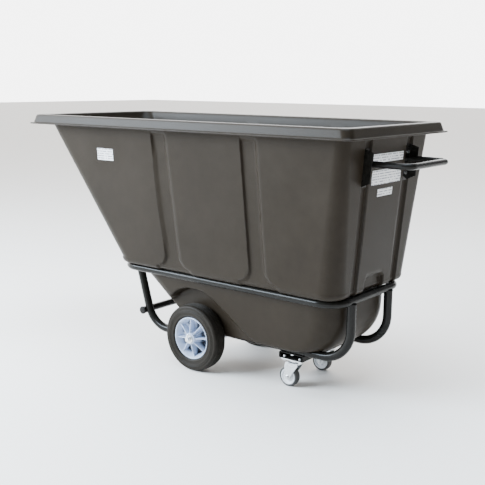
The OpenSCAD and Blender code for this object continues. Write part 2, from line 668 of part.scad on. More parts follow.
module handle_bolts()
    color(zinc) for (s = [-1, 1], z = handle_bolt_z) at_rear_groove(s, z) rotate([0, 90, 0]) {
        translate([0, 0, plate_x + 2 * touch]) cylinder(r = 7.5, h = 5, $fn = 6);
        translate([0, 0, -wall - 10]) cylinder(r = bolt_r, h = wall + plate_x + 12);
        translate([0, 0, -wall - touch - 7]) cylinder(r = 7.5, h = 7, $fn = 6);
        translate([0, 0, -wall - touch - 2]) cylinder(r = 10, h = 2);
    }
module frame_bolts()
    color(zinc) for (s = [-1, 1], i = [0, 1]) {
        head_z = i > 0 ? beam_z + beam_h - beam_wall - touch : rail_z - rail_r - touch;
        translate([frame_bolt_x[i], s * rail_y, head_z]) {
            translate([0, 0, -6]) cylinder(r = 7.5, h = 6, $fn = 6);
            translate([0, 0, -1]) cylinder(r = bolt_r, h = tunnel_z + wall + 12 - head_z);
        }
        translate([frame_bolt_x[i], s * rail_y, tunnel_z + wall + touch]) {
            cylinder(r = 11, h = 2);
            cylinder(r = 7.5, h = 9, $fn = 6);
        }
    }

// blank plates in place of the printed ones
label_t = 0.8;
module rear_label(z, w, h)
    color("#e9e9e6") translate([rear_wall(z), 0, z]) rotate([0, rear_lean, 0])
        translate([touch, -w / 2, -h / 2]) cube([label_t, w, h]);
module label_upper() rear_label(handle_z + 17, 240, 34);
module label_middle() rear_label(handle_z - 59, 232, 58);
module label_lower() rear_label(handle_z - 122, 118, 30);
module side_label()
    color("#e9e9e6") translate([axle_x - 458, -side_wall(handle_z - 27), handle_z - 27]) rotate([side_lean, 0, 0])
        translate([-52, -touch - label_t, -27]) cube([104, label_t, 54]);

hopper();
frame_hoop();
rail_left();
rail_right();
leg_left();
leg_right();
dump_rest_tube();
dump_rest_caps();
caster_beam();
axle_bracket_left();
axle_bracket_right();
axle();
axle_spacers();
axle_washers();
axle_pins();
hub_left();
hub_right();
bush_left();
bush_right();
tyre_left();
tyre_right();
caster_plate_left();
caster_plate_right();
kingpin_left();
kingpin_right();
caster_balls_left();
caster_balls_right();
caster_fork_left();
caster_fork_right();
caster_axle_left();
caster_axle_right();
caster_core_left();
caster_core_right();
caster_tread_left();
caster_tread_right();
caster_bolts();
handle_tube();
handle_bracket_left();
handle_bracket_right();
handle_bolts();
frame_bolts();
label_upper();
label_middle();
label_lower();
side_label();
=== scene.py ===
"""Visual model of a moulded tilt truck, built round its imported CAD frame.

Every new piece is a surface worked out with numpy and written to a mesh in metres.
"""

import math

import bmesh
import bpy
import numpy as np
from mathutils import Matrix, Vector


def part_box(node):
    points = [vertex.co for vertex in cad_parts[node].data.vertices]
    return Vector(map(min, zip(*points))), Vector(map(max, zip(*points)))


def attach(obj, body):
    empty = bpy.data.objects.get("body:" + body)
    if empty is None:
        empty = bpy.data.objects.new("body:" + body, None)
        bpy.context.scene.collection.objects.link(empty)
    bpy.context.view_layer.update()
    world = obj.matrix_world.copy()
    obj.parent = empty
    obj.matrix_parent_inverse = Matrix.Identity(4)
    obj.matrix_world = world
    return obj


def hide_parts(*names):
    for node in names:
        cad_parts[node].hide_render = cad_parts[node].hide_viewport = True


bl_info = {
    "name": "Tilt truck",
    "version": (1, 0, 0),
    "blender": (4, 5, 0),
    "location": "View3D > Sidebar > Tilt truck",
    "description": "Builds the hopper, frame, wheels and casters of a tilt truck",
    "category": "Add Mesh",
}

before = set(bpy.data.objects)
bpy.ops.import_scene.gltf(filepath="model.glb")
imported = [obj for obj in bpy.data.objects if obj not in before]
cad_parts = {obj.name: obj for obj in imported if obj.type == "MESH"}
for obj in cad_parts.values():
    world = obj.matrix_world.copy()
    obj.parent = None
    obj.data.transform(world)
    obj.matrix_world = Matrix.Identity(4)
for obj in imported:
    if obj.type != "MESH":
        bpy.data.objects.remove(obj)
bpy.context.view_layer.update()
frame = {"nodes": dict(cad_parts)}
SIDES = {"left": -1, "right": 1}
MM = 0.001


def mm_box(node):
    """Lowest and highest corner of a CAD node, in millimetres."""
    low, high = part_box(node)
    return np.array(low) / MM, np.array(high) / MM


def mm_centre(node):
    low, high = mm_box(node)
    return (low + high) / 2


# ---------------------------------------------------------------- surfaces


def grid_faces(rows, cols, start, wrap_rows):
    """Quads between neighbours in a grid of points, whose last column meets its first."""
    i = np.arange(rows if wrap_rows else rows - 1)
    j = np.arange(cols)
    i, j = np.meshgrid(i, j, indexing="ij")
    i1, j1 = (i + 1) % rows, (j + 1) % cols
    quads = np.stack([i * cols + j, i * cols + j1, i1 * cols + j1, i1 * cols + j], -1)
    return quads.reshape(-1, 4) + start


class Shape:
    """Collects grids of points, in millimetres, into one mesh."""

    def __init__(self):
        self.points, self.quads, self.count = [], [], 0

    def add(self, grid, wrap_rows=False):
        rows, cols = grid.shape[:2]
        self.points.append(grid.reshape(-1, 3))
        self.quads.append(grid_faces(rows, cols, self.count, wrap_rows))
        self.count += rows * cols
        return self

    def make(self, name, material, weld=1e-6, sharp_deg=None):
        points = np.concatenate(self.points) * MM
        quads = np.concatenate(self.quads)
        mesh = bpy.data.meshes.new(name)
        mesh.from_pydata(points.tolist(), [], quads.tolist())
        work = bmesh.new()
        work.from_mesh(mesh)
        bmesh.ops.remove_doubles(work, verts=work.verts, dist=weld)
        bmesh.ops.dissolve_degenerate(work, dist=weld, edges=work.edges)
        bmesh.ops.recalc_face_normals(work, faces=work.faces)
        work.to_mesh(mesh)
        work.free()
        mesh.polygons.foreach_set("use_smooth", np.ones(len(mesh.polygons), bool))
        if sharp_deg:
            mesh.set_sharp_from_angle(angle=math.radians(sharp_deg))
        piece = bpy.data.objects.new(name, mesh)
        piece.data.materials.append(material)
        bpy.context.scene.collection.objects.link(piece)
        return piece


def lathe(profile, centre, steps):
    """Surface of revolution about Y: (r, h) goes to (r cos t, h, r sin t) + centre."""
    profile = np.asarray(profile, float)
    turn = np.linspace(0, 2 * np.pi, steps, endpoint=False)
    r, h = profile[:, :1], profile[:, 1:]
    ring = (r * np.cos(turn), np.repeat(h, steps, 1), r * np.sin(turn))
    return np.stack(ring, -1) + np.asarray(centre, float)


def arc_points(centre, r, a0, a1, steps):
    """Points of an arc in a plane, from angle a0 to a1 in degrees."""
    a = np.radians(np.linspace(a0, a1, steps))
    return np.stack([centre[0] + r * np.cos(a), centre[1] + r * np.sin(a)], -1)


def rounded_line(points, radii, steps=16):
    """A polyline whose inner corners are arcs tangent to both of their sides."""
    points = np.asarray(points, float)
    out = [points[:1]]
    for k in range(1, len(points) - 1):
        p, r = points[k], radii[k - 1]
        a = points[k - 1] - p
        b = points[k + 1] - p
        a, b = a / np.linalg.norm(a), b / np.linalg.norm(b)
        half = math.acos(float(np.clip(a @ b, -1, 1))) / 2
        middle = a + b
        middle /= np.linalg.norm(middle)
        centre = p + middle * r / math.sin(half)
        side = (a - b) / np.linalg.norm(a - b)
        sweep = math.pi / 2 - half
        t = np.linspace(sweep, -sweep, steps)[:, None]
        out.append(centre + r * (np.sin(t) * side - np.cos(t) * middle))
    out.append(points[-1:])
    return np.concatenate(out)


def swept(path, normal, stations, steps=32, closed=False):
    """Round tube along a flat path: each station is (distance along it, radius).

    At each station the point and the direction are read off the path, and a
    circle of that radius is laid square to the direction.
    """
    path = np.asarray(path, float)
    if closed:
        path = np.concatenate([path, path[:1]])
    step = np.linalg.norm(np.diff(path, axis=0), axis=1)
    keep = np.concatenate([[True], step > 1e-6])
    path = path[keep]
    length = np.concatenate([[0], np.cumsum(np.linalg.norm(np.diff(path, axis=0), axis=1))])
    tangent = np.gradient(path, length, axis=0)
    if closed:
        tangent[0] = tangent[-1] = path[1] - path[-2]
    s = np.array([q[0] if q[0] >= 0 else length[-1] + q[0] + 1e-9 for q in stations])
    r = np.array([q[1] for q in stations])
    at = np.stack([np.interp(s, length, path[:, k]) for k in range(3)], -1)
    way = np.stack([np.interp(s, length, tangent[:, k]) for k in range(3)], -1)
    way /= np.linalg.norm(way, axis=1, keepdims=True)
    normal = np.asarray(normal, float)
    across = np.cross(way, normal)
    across /= np.linalg.norm(across, axis=1, keepdims=True)
    turn = np.linspace(0, 2 * np.pi, steps, endpoint=False)[None, :, None]
    ring = np.cos(turn) * across[:, None] + np.sin(turn) * normal[None, None]
    return at[:, None] + r[:, None, None] * ring


def path_length(path):
    return float(np.linalg.norm(np.diff(np.asarray(path, float), axis=0), axis=1).sum())


def open_tube(path, normal, r, bore, spacing=8.0, steps=32, bead=(0, 0)):
    """Tube with open ends: out along its outside and a little way back up each bore."""
    total = path_length(path)
    n = max(int(total / spacing), 2)
    edge = 0.8
    inside = 30.0
    start = [(inside, 0), (inside, bore), (edge, bore), (0, bore + edge), (0, r - edge)]
    if bead[0]:
        start += [(0.5, r + bead[0]), (3.5, r + bead[0]), (6.5, r)]
    else:
        start += [(edge, r)]
    middle = [(d, r) for d in np.linspace(8, total - 8, n)]
    if bead[1]:
        end = [(total - 6.5, r), (total - 3.5, r + bead[1]), (total - 0.5, r + bead[1])]
    else:
        end = [(total - edge, r)]
    end += [(total, r - edge), (total, bore + edge), (total - edge, bore)]
    end += [(total - inside, bore), (total - inside, 0)]
    return swept(path, normal, start + middle + end, steps)


def smooth(t):
    """Smooth step: 0 below 0, 1 above 1, level at both ends."""
    t = np.clip(t, 0, 1)
    return t * t * (3 - 2 * t)


# ---------------------------------------------------------------- shader groups


def new_group(name, inputs, outputs):
    tree = bpy.data.node_groups.new(name, "ShaderNodeTree")
    for label, value in inputs:
        socket = tree.interface.new_socket(label, in_out="INPUT", socket_type="NodeSocketFloat")
        socket.default_value = value
    for label in outputs:
        tree.interface.new_socket(label, in_out="OUTPUT", socket_type="NodeSocketFloat")
    return tree, tree.nodes.new("NodeGroupInput"), tree.nodes.new("NodeGroupOutput")


def math_node(tree, how, a, b=None, clamp=False):
    node = tree.nodes.new("ShaderNodeMath")
    node.operation = how
    node.use_clamp = clamp
    for k, value in enumerate((a, b)):
        if value is None:
            continue
        if isinstance(value, (int, float)):
            node.inputs[k].default_value = value
        else:
            tree.links.new(value, node.inputs[k])
    return node.outputs[0]


def noise_node(tree, where, scale, detail=3.0, rough=0.5):
    node = tree.nodes.new("ShaderNodeTexNoise")
    node.inputs["Detail"].default_value = detail
    node.inputs["Roughness"].default_value = rough
    tree.links.new(where, node.inputs["Vector"])
    if isinstance(scale, (int, float)):
        node.inputs["Scale"].default_value = scale
    else:
        tree.links.new(scale, node.inputs["Scale"])
    return node.outputs["Fac"]


def range_node(tree, value, low, high, to_low=0.0, to_high=1.0):
    node = tree.nodes.new("ShaderNodeMapRange")
    tree.links.new(value, node.inputs["Value"])
    for label, v in (("From Min", low), ("From Max", high), ("To Min", to_low), ("To Max", to_high)):
        node.inputs[label].default_value = v
    return node.outputs["Result"]


def grain_group():
    """Moulded grain: fine noise with a sparser, deeper pebble over it."""
    tree, given, out = new_group("moulded_grain", [("Scale", 600.0), ("Pebble", 0.5)], ["Height"])
    where = tree.nodes.new("ShaderNodeTexCoord").outputs["Object"]
    fine = noise_node(tree, where, given.outputs["Scale"], 2.0, 0.6)
    cells = tree.nodes.new("ShaderNodeTexVoronoi")
    cells.feature = "SMOOTH_F1"
    tree.links.new(where, cells.inputs["Vector"])
    tree.links.new(math_node(tree, "MULTIPLY", given.outputs["Scale"], 0.45), cells.inputs["Scale"])
    pebble = math_node(tree, "MULTIPLY", cells.outputs["Distance"], given.outputs["Pebble"])
    tree.links.new(math_node(tree, "ADD", fine, pebble), out.inputs["Height"])
    return tree


def mottle_group():
    """Slow, uneven tone of a large moulding, from 0 to 1."""
    tree, given, out = new_group("slow_mottle", [("Scale", 3.0)], ["Tone"])
    where = tree.nodes.new("ShaderNodeTexCoord").outputs["Object"]
    broad = noise_node(tree, where, given.outputs["Scale"], 3.0, 0.55)
    small = noise_node(tree, where, math_node(tree, "MULTIPLY", given.outputs["Scale"], 9.0), 4.0, 0.6)
    broad, small = math_node(tree, "MULTIPLY", broad, 0.7), math_node(tree, "MULTIPLY", small, 0.3)
    both = math_node(tree, "ADD", broad, small)
    tree.links.new(range_node(tree, both, 0.32, 0.68), out.inputs["Tone"])
    return tree


def wear_group():
    """Rubbed edges: convex edges broken up by noise."""
    tree, given, out = new_group("edge_wear", [("Scale", 40.0), ("Amount", 0.5)], ["Mask"])
    where = tree.nodes.new("ShaderNodeTexCoord").outputs["Object"]
    point = tree.nodes.new("ShaderNodeNewGeometry").outputs["Pointiness"]
    edge = range_node(tree, point, 0.505, 0.56)
    broken = range_node(tree, noise_node(tree, where, given.outputs["Scale"], 5.0, 0.65), 0.4, 0.62)
    both = math_node(tree, "MULTIPLY", edge, broken)
    tree.links.new(math_node(tree, "MULTIPLY", both, given.outputs["Amount"], True), out.inputs["Mask"])
    return tree


def dust_group():
    """Dust: patchy, and thicker on faces that look up."""
    tree, given, out = new_group("settled_dust", [("Scale", 12.0), ("Amount", 0.3)], ["Mask"])
    where = tree.nodes.new("ShaderNodeTexCoord").outputs["Object"]
    facing = tree.nodes.new("ShaderNodeSeparateXYZ")
    tree.links.new(tree.nodes.new("ShaderNodeNewGeometry").outputs["Normal"], facing.inputs[0])
    up = range_node(tree, facing.outputs["Z"], -0.2, 1.0, 0.25, 1.0)
    patch = range_node(tree, noise_node(tree, where, given.outputs["Scale"], 6.0, 0.7), 0.38, 0.72)
    both = math_node(tree, "MULTIPLY", up, patch)
    tree.links.new(math_node(tree, "MULTIPLY", both, given.outputs["Amount"], True), out.inputs["Mask"])
    return tree


def pocket_shade_group():
    """Painted shade for the pockets of a hub: darkens what lies deeper towards the middle of the wheel than
    the web's face, so the pocket floors and the hub's back alike.
    """
    tree, given, out = new_group("hub_pocket_shade", [("Wheel Offset", 0.232), ("Amount", 0.8)], ["Mask"])
    where = tree.nodes.new("ShaderNodeTexCoord").outputs["Object"]
    split = tree.nodes.new("ShaderNodeSeparateXYZ")
    tree.links.new(where, split.inputs[0])
    from_middle = math_node(tree, "ABSOLUTE", split.outputs["Y"])
    outwards = math_node(tree, "SUBTRACT", from_middle, given.outputs["Wheel Offset"])
    deep = range_node(tree, outwards, 0.005, -0.006)
    broken = range_node(tree, noise_node(tree, where, 90.0, 3.0), 0.2, 0.7, 0.75, 1.0)
    both = math_node(tree, "MULTIPLY", deep, broken)
    tree.links.new(math_node(tree, "MULTIPLY", both, given.outputs["Amount"], True), out.inputs["Mask"])
    return tree


def print_group():
    """Blank print: even lines across a label, broken into short dashes."""
    tree, given, out = new_group("printed_lines", [("Lines Per Metre", 90.0), ("Share", 0.4)], ["Mask"])
    where = tree.nodes.new("ShaderNodeTexCoord").outputs["Object"]
    split = tree.nodes.new("ShaderNodeSeparateXYZ")
    tree.links.new(where, split.inputs[0])
    rows = math_node(tree, "MULTIPLY", split.outputs["Z"], given.outputs["Lines Per Metre"])
    line = math_node(tree, "LESS_THAN", math_node(tree, "FRACT", rows), given.outputs["Share"])
    join = tree.nodes.new("ShaderNodeCombineXYZ")
    tree.links.new(split.outputs["X"], join.inputs["X"])
    tree.links.new(split.outputs["Y"], join.inputs["Y"])
    tree.links.new(math_node(tree, "MULTIPLY", math_node(tree, "FLOOR", rows), 7.3), join.inputs["Z"])
    words = range_node(tree, noise_node(tree, join.outputs[0], 110.0, 1.0), 0.44, 0.47)
    tree.links.new(math_node(tree, "MULTIPLY", line, words, True), out.inputs["Mask"])
    return tree


GROUPS = {}


def use_group(tree, name, **values):
    makers = {"grain": grain_group, "mottle": mottle_group, "wear": wear_group, "dust": dust_group,
              "pocket_shade": pocket_shade_group, "print": print_group}
    if name not in GROUPS:
        GROUPS[name] = makers[name]()
    node = tree.nodes.new("ShaderNodeGroup")
    node.node_tree = GROUPS[name]
    for label, value in values.items():
        node.inputs[label].default_value = value
    return node.outputs[0]


def mix_colour(tree, mask, a, b):
    node = tree.nodes.new("ShaderNodeMix")
    node.data_type = "RGBA"
    tree.links.new(mask, node.inputs["Factor"])
    for label, value in (("A", a), ("B", b)):
        socket = next(s for s in node.inputs if s.name == label and s.type == "RGBA")
        if isinstance(value, (tuple, list)):
            socket.default_value = (*value[:3], 1.0)
        else:
            tree.links.new(value, socket)
    return next(s for s in node.outputs if s.type == "RGBA")


def finish(name, colour, light=None, rough=0.5, rough_swing=0.1, metal=0.0, coat=0.0,
           coat_rough=0.1, specular=0.5, grain=600.0, pebble=0.5, bump=0.1, depth=0.0004,
           mottle=3.0, wear=0.0, wear_colour=(0.2, 0.2, 0.2), dust=0.0, dust_colour=(0.3, 0.28, 0.25),
           dust_scale=12.0, pocket_shade=0.0, ink=None, lines=90.0):
    """One finish: mottled colour, print, painted shade in hub pockets, rubbed edges, dust, moulded grain."""
    material = bpy.data.materials.new(name)
    material.use_nodes = True
    tree = material.node_tree
    shader = tree.nodes["Principled BSDF"]
    shader.inputs["Metallic"].default_value = metal
    shader.inputs["Specular IOR Level"].default_value = specular
    shader.inputs["Coat Weight"].default_value = coat
    shader.inputs["Coat Roughness"].default_value = coat_rough
    tone = use_group(tree, "mottle", Scale=mottle)
    light = light or tuple(min(c * 1.35 + 0.003, 1) for c in colour)
    shade = mix_colour(tree, tone, tuple(colour), tuple(light))
    roughness = range_node(tree, tone, 0.0, 1.0, rough - rough_swing / 2, rough + rough_swing / 2)
    if ink:
        printed = use_group(tree, "print", **{"Lines Per Metre": lines, "Share": 0.4})
        shade = mix_colour(tree, printed, shade, tuple(ink))
    # Painted shade: the hub's pockets and back are mixed towards near-black blue where the web lies deep.
    if pocket_shade:
        offset = mm_centre("tyre_right")[1] * MM
        pocket_shade_mask = use_group(tree, "pocket_shade", **{"Wheel Offset": offset, "Amount": pocket_shade})
        shade = mix_colour(tree, pocket_shade_mask, shade, (0.012, 0.014, 0.02))
    if wear:
        rubbed = use_group(tree, "wear", Scale=40.0, Amount=wear)
        shade = mix_colour(tree, rubbed, shade, tuple(wear_colour))
    if dust:
        settled = use_group(tree, "dust", Scale=dust_scale, Amount=dust)
        shade = mix_colour(tree, settled, shade, tuple(dust_colour))
        extra = math_node(tree, "MULTIPLY", settled, 0.35)
        roughness = math_node(tree, "ADD", roughness, extra, True)
    tree.links.new(shade, shader.inputs["Base Color"])
    tree.links.new(roughness, shader.inputs["Roughness"])
    height = use_group(tree, "grain", Scale=grain, Pebble=pebble)
    node = tree.nodes.new("ShaderNodeBump")
    node.inputs["Strength"].default_value = bump
    node.inputs["Distance"].default_value = depth
    tree.links.new(height, node.inputs["Height"])
    tree.links.new(node.outputs["Normal"], shader.inputs["Normal"])
    return material


FINISHES = {}


def finish_of(name):
    """The named finish, made the first time it is asked for."""
    if name in FINISHES:
        return FINISHES[name]
    colours = bpy.context.scene.truck_colours
    recipes = {
        "hopper_plastic": dict(colour=colours.hopper, rough=0.40, rough_swing=0.08, specular=0.1,
                               grain=900, pebble=0.7, bump=0.3, depth=0.0005, mottle=2.2, wear=0.3,
                               wear_colour=(0.05, 0.05, 0.052), dust=0.03, dust_colour=(0.12, 0.115, 0.105)),
        "frame_paint": dict(colour=colours.frame, rough=0.25, rough_swing=0.08, specular=0.1, coat=0.05,
                            coat_rough=0.08, grain=350, pebble=0.2, bump=0.12, mottle=9.0, wear=0.1,
                            wear_colour=(0.05, 0.048, 0.045), dust=0.03, dust_colour=(0.12, 0.115, 0.105)),
        "tyre_rubber": dict(colour=colours.tyre, rough=0.5, rough_swing=0.12, specular=0.1, grain=1400,
                            pebble=0.6, bump=0.3, depth=0.0005, mottle=14.0, wear=0.1,
                            wear_colour=(0.04, 0.038, 0.035), dust=0.06, dust_colour=(0.1, 0.092, 0.08),
                            dust_scale=30.0),
        # The hub's pockets get painted shade at full strength.
        "hub_plastic": dict(colour=colours.hub, rough=0.33, rough_swing=0.1, grain=700, pebble=0.3, bump=0.12,
                            depth=0.0003, mottle=16.0, dust=0.2, dust_colour=(0.26, 0.27, 0.3), pocket_shade=1.0),
        "zinc": dict(colour=(0.62, 0.64, 0.66), light=(0.8, 0.81, 0.82), rough=0.3, rough_swing=0.16,
                     metal=1.0, grain=500, pebble=1.2, bump=0.12, depth=0.0003, mottle=60.0, dust=0.15),
        "dull_steel": dict(colour=(0.35, 0.36, 0.38), rough=0.42, rough_swing=0.12, metal=1.0, grain=900,
                           pebble=0.3, bump=0.1, mottle=40.0, dust=0.15),
        "cap_plastic": dict(colour=(0.006, 0.0055, 0.005), specular=0.12, rough=0.5, grain=900, bump=0.2,
                            mottle=20.0, dust=0.03),
        "core_plastic": dict(colour=(0.6, 0.62, 0.65), light=(0.74, 0.75, 0.77), rough=0.35, grain=700,
                             bump=0.1, mottle=30.0, dust=0.15),
        "tread_rubber": dict(colour=(0.016, 0.016, 0.016), rough=0.55, grain=1500, bump=0.25,
                             mottle=30.0, dust=0.25),
        "label_film": dict(colour=(0.72, 0.73, 0.75), light=(0.8, 0.8, 0.8), rough=0.4, grain=300, pebble=0.1,
                           bump=0.05, mottle=25.0, dust=0.1, ink=(0.2, 0.21, 0.24), lines=95.0),
    }
    FINISHES[name] = finish(name, **recipes[name])
    return FINISHES[name]


def dress(node, name):
    """Gives a CAD node that stays in view its finish."""
    mesh = frame["nodes"][node].data
    mesh.materials.clear()
    mesh.materials.append(finish_of(name))


def place(piece, body, slot, *nodes):
    """Rides a piece on its body and hides the CAD nodes it stands for; its slot is not used."""
    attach(piece, body)
    if nodes:
        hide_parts(*nodes)
    return piece


# ---------------------------------------------------------------- hopper


HOPPER_LOW, HOPPER_HIGH = mm_box("hopper")
AXLE = mm_centre("axle")
TYRE_LOW, TYRE_HIGH = mm_box("tyre_left")
HOOP_LOW, HOOP_HIGH = mm_box("frame_hoop")
RIM_FRONT, RIM_REAR = HOPPER_LOW[0], HOPPER_HIGH[0]
RIM_HALF = (HOPPER_HIGH[1] - HOPPER_LOW[1]) / 2
RIM_TOP = HOPPER_HIGH[2]
BELLY_Z = HOPPER_LOW[2]
WHEEL_R = (TYRE_HIGH[2] - TYRE_LOW[2]) / 2
HOOP_R = (HOOP_HIGH[2] - HOOP_LOW[2]) / 2
HOOP_Z = (HOOP_HIGH[2] + HOOP_LOW[2]) / 2
LEDGE_Z = HOOP_HIGH[2] + 0.5
BODY_TOP = RIM_TOP - 50.0
SHOULDER_Z = 484.0
SHOULDER_R = 24.0
BELLY_TOP_FRONT = HOOP_LOW[0] + 2 * HOOP_R + 8
BELLY_TOP_REAR = HOOP_HIGH[0] - 2 * HOOP_R - 6
BELLY_DEG = 41.0
BELLY_REAR_R = 180.0
BOTTOM_R = 22.0
RAIL_LOW, RAIL_HIGH = mm_box("rail_left")
RAIL_R = (RAIL_HIGH[1] - RAIL_LOW[1]) / 2
TUNNEL_Z = RAIL_LOW[2] + 2 * RAIL_R + 1
TUNNEL_HALF = 3 - RAIL_LOW[1]
WELL_HALF = 184.5
# insets from the rim at the body's top, and how much more they are at the shoulder
FRONT_INSET, FRONT_GAIN = 79.0, 402.0
REAR_INSET, REAR_GAIN = 61.0, 52.0
SIDE_INSET, SIDE_GAIN = 65.0, 43.0
# the sloped front's wall, measured level, is this many walls thick
FRONT_WALL = 1.21
BELLY_HALF, BELLY_LEAN = 240.0, 36.0
# [x at the body's top, x at the shoulder] of each channel between the side panels
CHANNELS = np.array([[AXLE[0] - 122, AXLE[0] - 72], [AXLE[0] + 374, AXLE[0] + 400]])
CHANNEL_HALF = 38.0
GROOVE_Y, GROOVE_LOW_Y, GROOVE_HALF = 167.0, 160.0, 24.0
RECESS_HALF = 78.0
# centre, radius and rear slope of the wheel well's arch
WELL_X, WELL_Z, WELL_R, WELL_DEG = AXLE[0] - 15, AXLE[2] + 26, WHEEL_R + 40, 36.0


def upper_ring(z, wall):
    """Rounded rectangle of the upper part, as height, front, rear, half width and two corner radii.

    Every size changes evenly with height: size(z) = size at the top + gain * f,
    with f = (top - z) / (top - shoulder).
    """
    f = (BODY_TOP - z) / (BODY_TOP - SHOULDER_Z)
    return [z, RIM_FRONT + FRONT_INSET + FRONT_GAIN * f + FRONT_WALL * wall,
            RIM_REAR - REAR_INSET - REAR_GAIN * f - wall, RIM_HALF - SIDE_INSET - SIDE_GAIN * f - wall,
            68 + 17 * f - wall, 48 + 32 * f - wall]


def belly_ring(z, wall):
    """Rounded rectangle of the lower part: sloped front, rear that curves under."""
    f = (LEDGE_Z - z) / (LEDGE_Z - BELLY_Z)
    drop = max(BELLY_Z + BELLY_REAR_R - z, 0)
    rear = BELLY_TOP_REAR - BELLY_REAR_R + math.sqrt(max((BELLY_REAR_R - wall) ** 2 - drop**2, 0))
    slope = math.radians(BELLY_DEG)
    front = BELLY_TOP_FRONT + (LEDGE_Z - z) / math.tan(slope) + wall / math.sin(slope)
    corner = 125 - 15 * f - wall
    return [z, front, rear, BELLY_HALF - BELLY_LEAN * f - wall, corner, corner]


def drawn_in(ring, d, z):
    """A ring moved in by d all round, at its own height."""
    return [z, ring[1] + d, ring[2] - d, ring[3] - d, max(ring[4] - d, 1e-3), max(ring[5] - d, 1e-3)]


def rim_ring(inset, z):
    corner = 34 + inset / 4
    return [z, RIM_FRONT + inset, RIM_REAR - inset, RIM_HALF - inset, corner, corner]


def bottom_rings(wall):
    """From a line under the middle out to the belly's side, round its bottom edge."""
    z0 = BELLY_Z + wall
    base = belly_ring(z0, wall)
    reach = base[3]
    flat = [drawn_in(base, d, z0) for d in np.linspace(reach, BOTTOM_R, 16)[:-1]]
    bend = []
    for a in np.linspace(90, 0, 6):
        z = z0 + BOTTOM_R * (1 - math.sin(math.radians(a)))
        d = BOTTOM_R * (1 - math.cos(math.radians(a)))
        bend.append(drawn_in(belly_ring(z, wall), d, z))
    return flat + bend


def hopper_rings(wall):
    """Rings from the outer bottom, over the rim, to the inner bottom, and each ring's part."""
    rings, part = [], []

    def put(items, name):
        rings.extend(items)
        part.extend([name] * len(items))

    put(bottom_rings(0), "bottom")
    put([belly_ring(z, 0) for z in np.linspace(BELLY_Z + BOTTOM_R + 5, LEDGE_Z - 6, 46)], "belly")
    put([drawn_in(belly_ring(LEDGE_Z, 0), -4, LEDGE_Z - 1)], "belly")
    shoulder = upper_ring(SHOULDER_Z, 0)
    bends = np.radians(np.linspace(0, 90, 9))
    put([drawn_in(shoulder, SHOULDER_R * (1 - math.sin(a)), LEDGE_Z + 1 + SHOULDER_R * (1 - math.cos(a)))
         for a in bends], "upper")
    heights = np.concatenate([np.linspace(478, 512, 8), np.linspace(522, BODY_TOP - 24, 34),
                              np.linspace(BODY_TOP - 18, BODY_TOP, 4)])
    put([upper_ring(z, 0) for z in heights], "upper")
    under = [(62, -9), (58, -7), (30, -6.5), (27, -9), (25.5, -14), (18.5, -42), (17, -44), (2, -44),
             (0.6, -43.4), (0, -42), (0, -39.6), (0.6, -38.4), (2, -38), (9, -37.6), (11.2, -36.5),
             (12.4, -33), (18.6, -10), (20, -5.6), (21.6, -2.6), (24, -0.7), (27, 0), (40, 0.0), (54, 0),
             (58.5, -0.8), (62, -3), (64.5, -7), (66, -14)]
    put([rim_ring(d, RIM_TOP + h) for d, h in under], "rim")
    put([upper_ring(z, wall) for z in np.linspace(BODY_TOP + 26, SHOULDER_Z, 24)], "inner")
    put([drawn_in(upper_ring(SHOULDER_Z, wall), SHOULDER_R * (1 - math.sin(a)),
                  LEDGE_Z + wall + SHOULDER_R * (1 - math.cos(a))) for a in bends[::-2]], "inner")
    put([drawn_in(belly_ring(LEDGE_Z, wall), -1, LEDGE_Z + wall - 1)], "inner_belly")
    put([belly_ring(z, wall) for z in np.linspace(LEDGE_Z - 10, BELLY_Z + BOTTOM_R + 10, 22)], "inner_belly")
    put(bottom_rings(wall)[::-1], "inner_bottom")
    return np.array(rings), np.array(part)


def spread(anchors, low, high, spacing, fine):
    """Positions between low and high, evenly spaced, with a cluster round each anchor."""
    marks = [low] + [a + d for a in anchors for d in fine] + [high]
    out = []
    for a, b in zip(marks[:-1], marks[1:]):
        n = max(int(round((b - a) / spacing)), 1)
        out.append(np.linspace(a, b, n, endpoint=False))
    return np.concatenate(out)


def hopper_columns(rings, part):
    """Fractions along the side and the rear for every ring, so columns follow the channels."""
    fine = (-9, -6, -4, -2.5, -1, 1, 2.5, 4, 6, 9)
    z_low, z_high = SHOULDER_Z, BODY_TOP
    top, low = upper_ring(z_high, 0), upper_ring(z_low, 0)
    edges = np.array([c + s * CHANNEL_HALF for c in CHANNELS for s in (-1, 1)])
    side_top = spread(edges[:, 0], top[1] + top[4], top[2] - top[5], 11, fine)
    clusters = edges[:, :, None] + np.array(fine)
    marks_top, marks_low = (np.concatenate([[ring[1] + ring[4]], clusters[:, k].ravel(), [ring[2] - ring[5]]])
                            for k, ring in enumerate((top, low)))
    where = np.interp(side_top, marks_top, np.arange(len(marks_top)))
    side_low = np.interp(where, np.arange(len(marks_low)), marks_low)
    fr_top = (side_top - marks_top[0]) / (marks_top[-1] - marks_top[0])
    fr_low = (side_low - marks_low[0]) / (marks_low[-1] - marks_low[0])
    y_edges = [GROOVE_Y + GROOVE_HALF, GROOVE_Y - GROOVE_HALF, RECESS_HALF]
    rear_fine = (6, 3.5, 2, 0.8, -0.8, -2, -3.5, -6)
    y_top = top[3] - top[5]
    marks = [y_top] + [e + d for e in y_edges for d in rear_fine] + [0.0]
    rear = np.concatenate([np.linspace(a, b, max(int(round((a - b) / 11)), 1), endpoint=False)
                           for a, b in zip(marks[:-1], marks[1:])])
    low_edges = [GROOVE_LOW_Y - GROOVE_HALF, GROOVE_LOW_Y + GROOVE_HALF]
    rear_low = np.interp(rear, [0, *y_edges[::-1], y_top], [0, RECESS_HALF, *low_edges, low[3] - low[5]])
    z = rings[:, 0]
    f = np.clip((z - z_low) / (z_high - z_low), 0, 1)[:, None]
    side = fr_low * (1 - f) + fr_top * f
    rear_f = (rear_low / (low[3] - low[5])) * (1 - f) + (rear / y_top) * f
    return side, rear_f


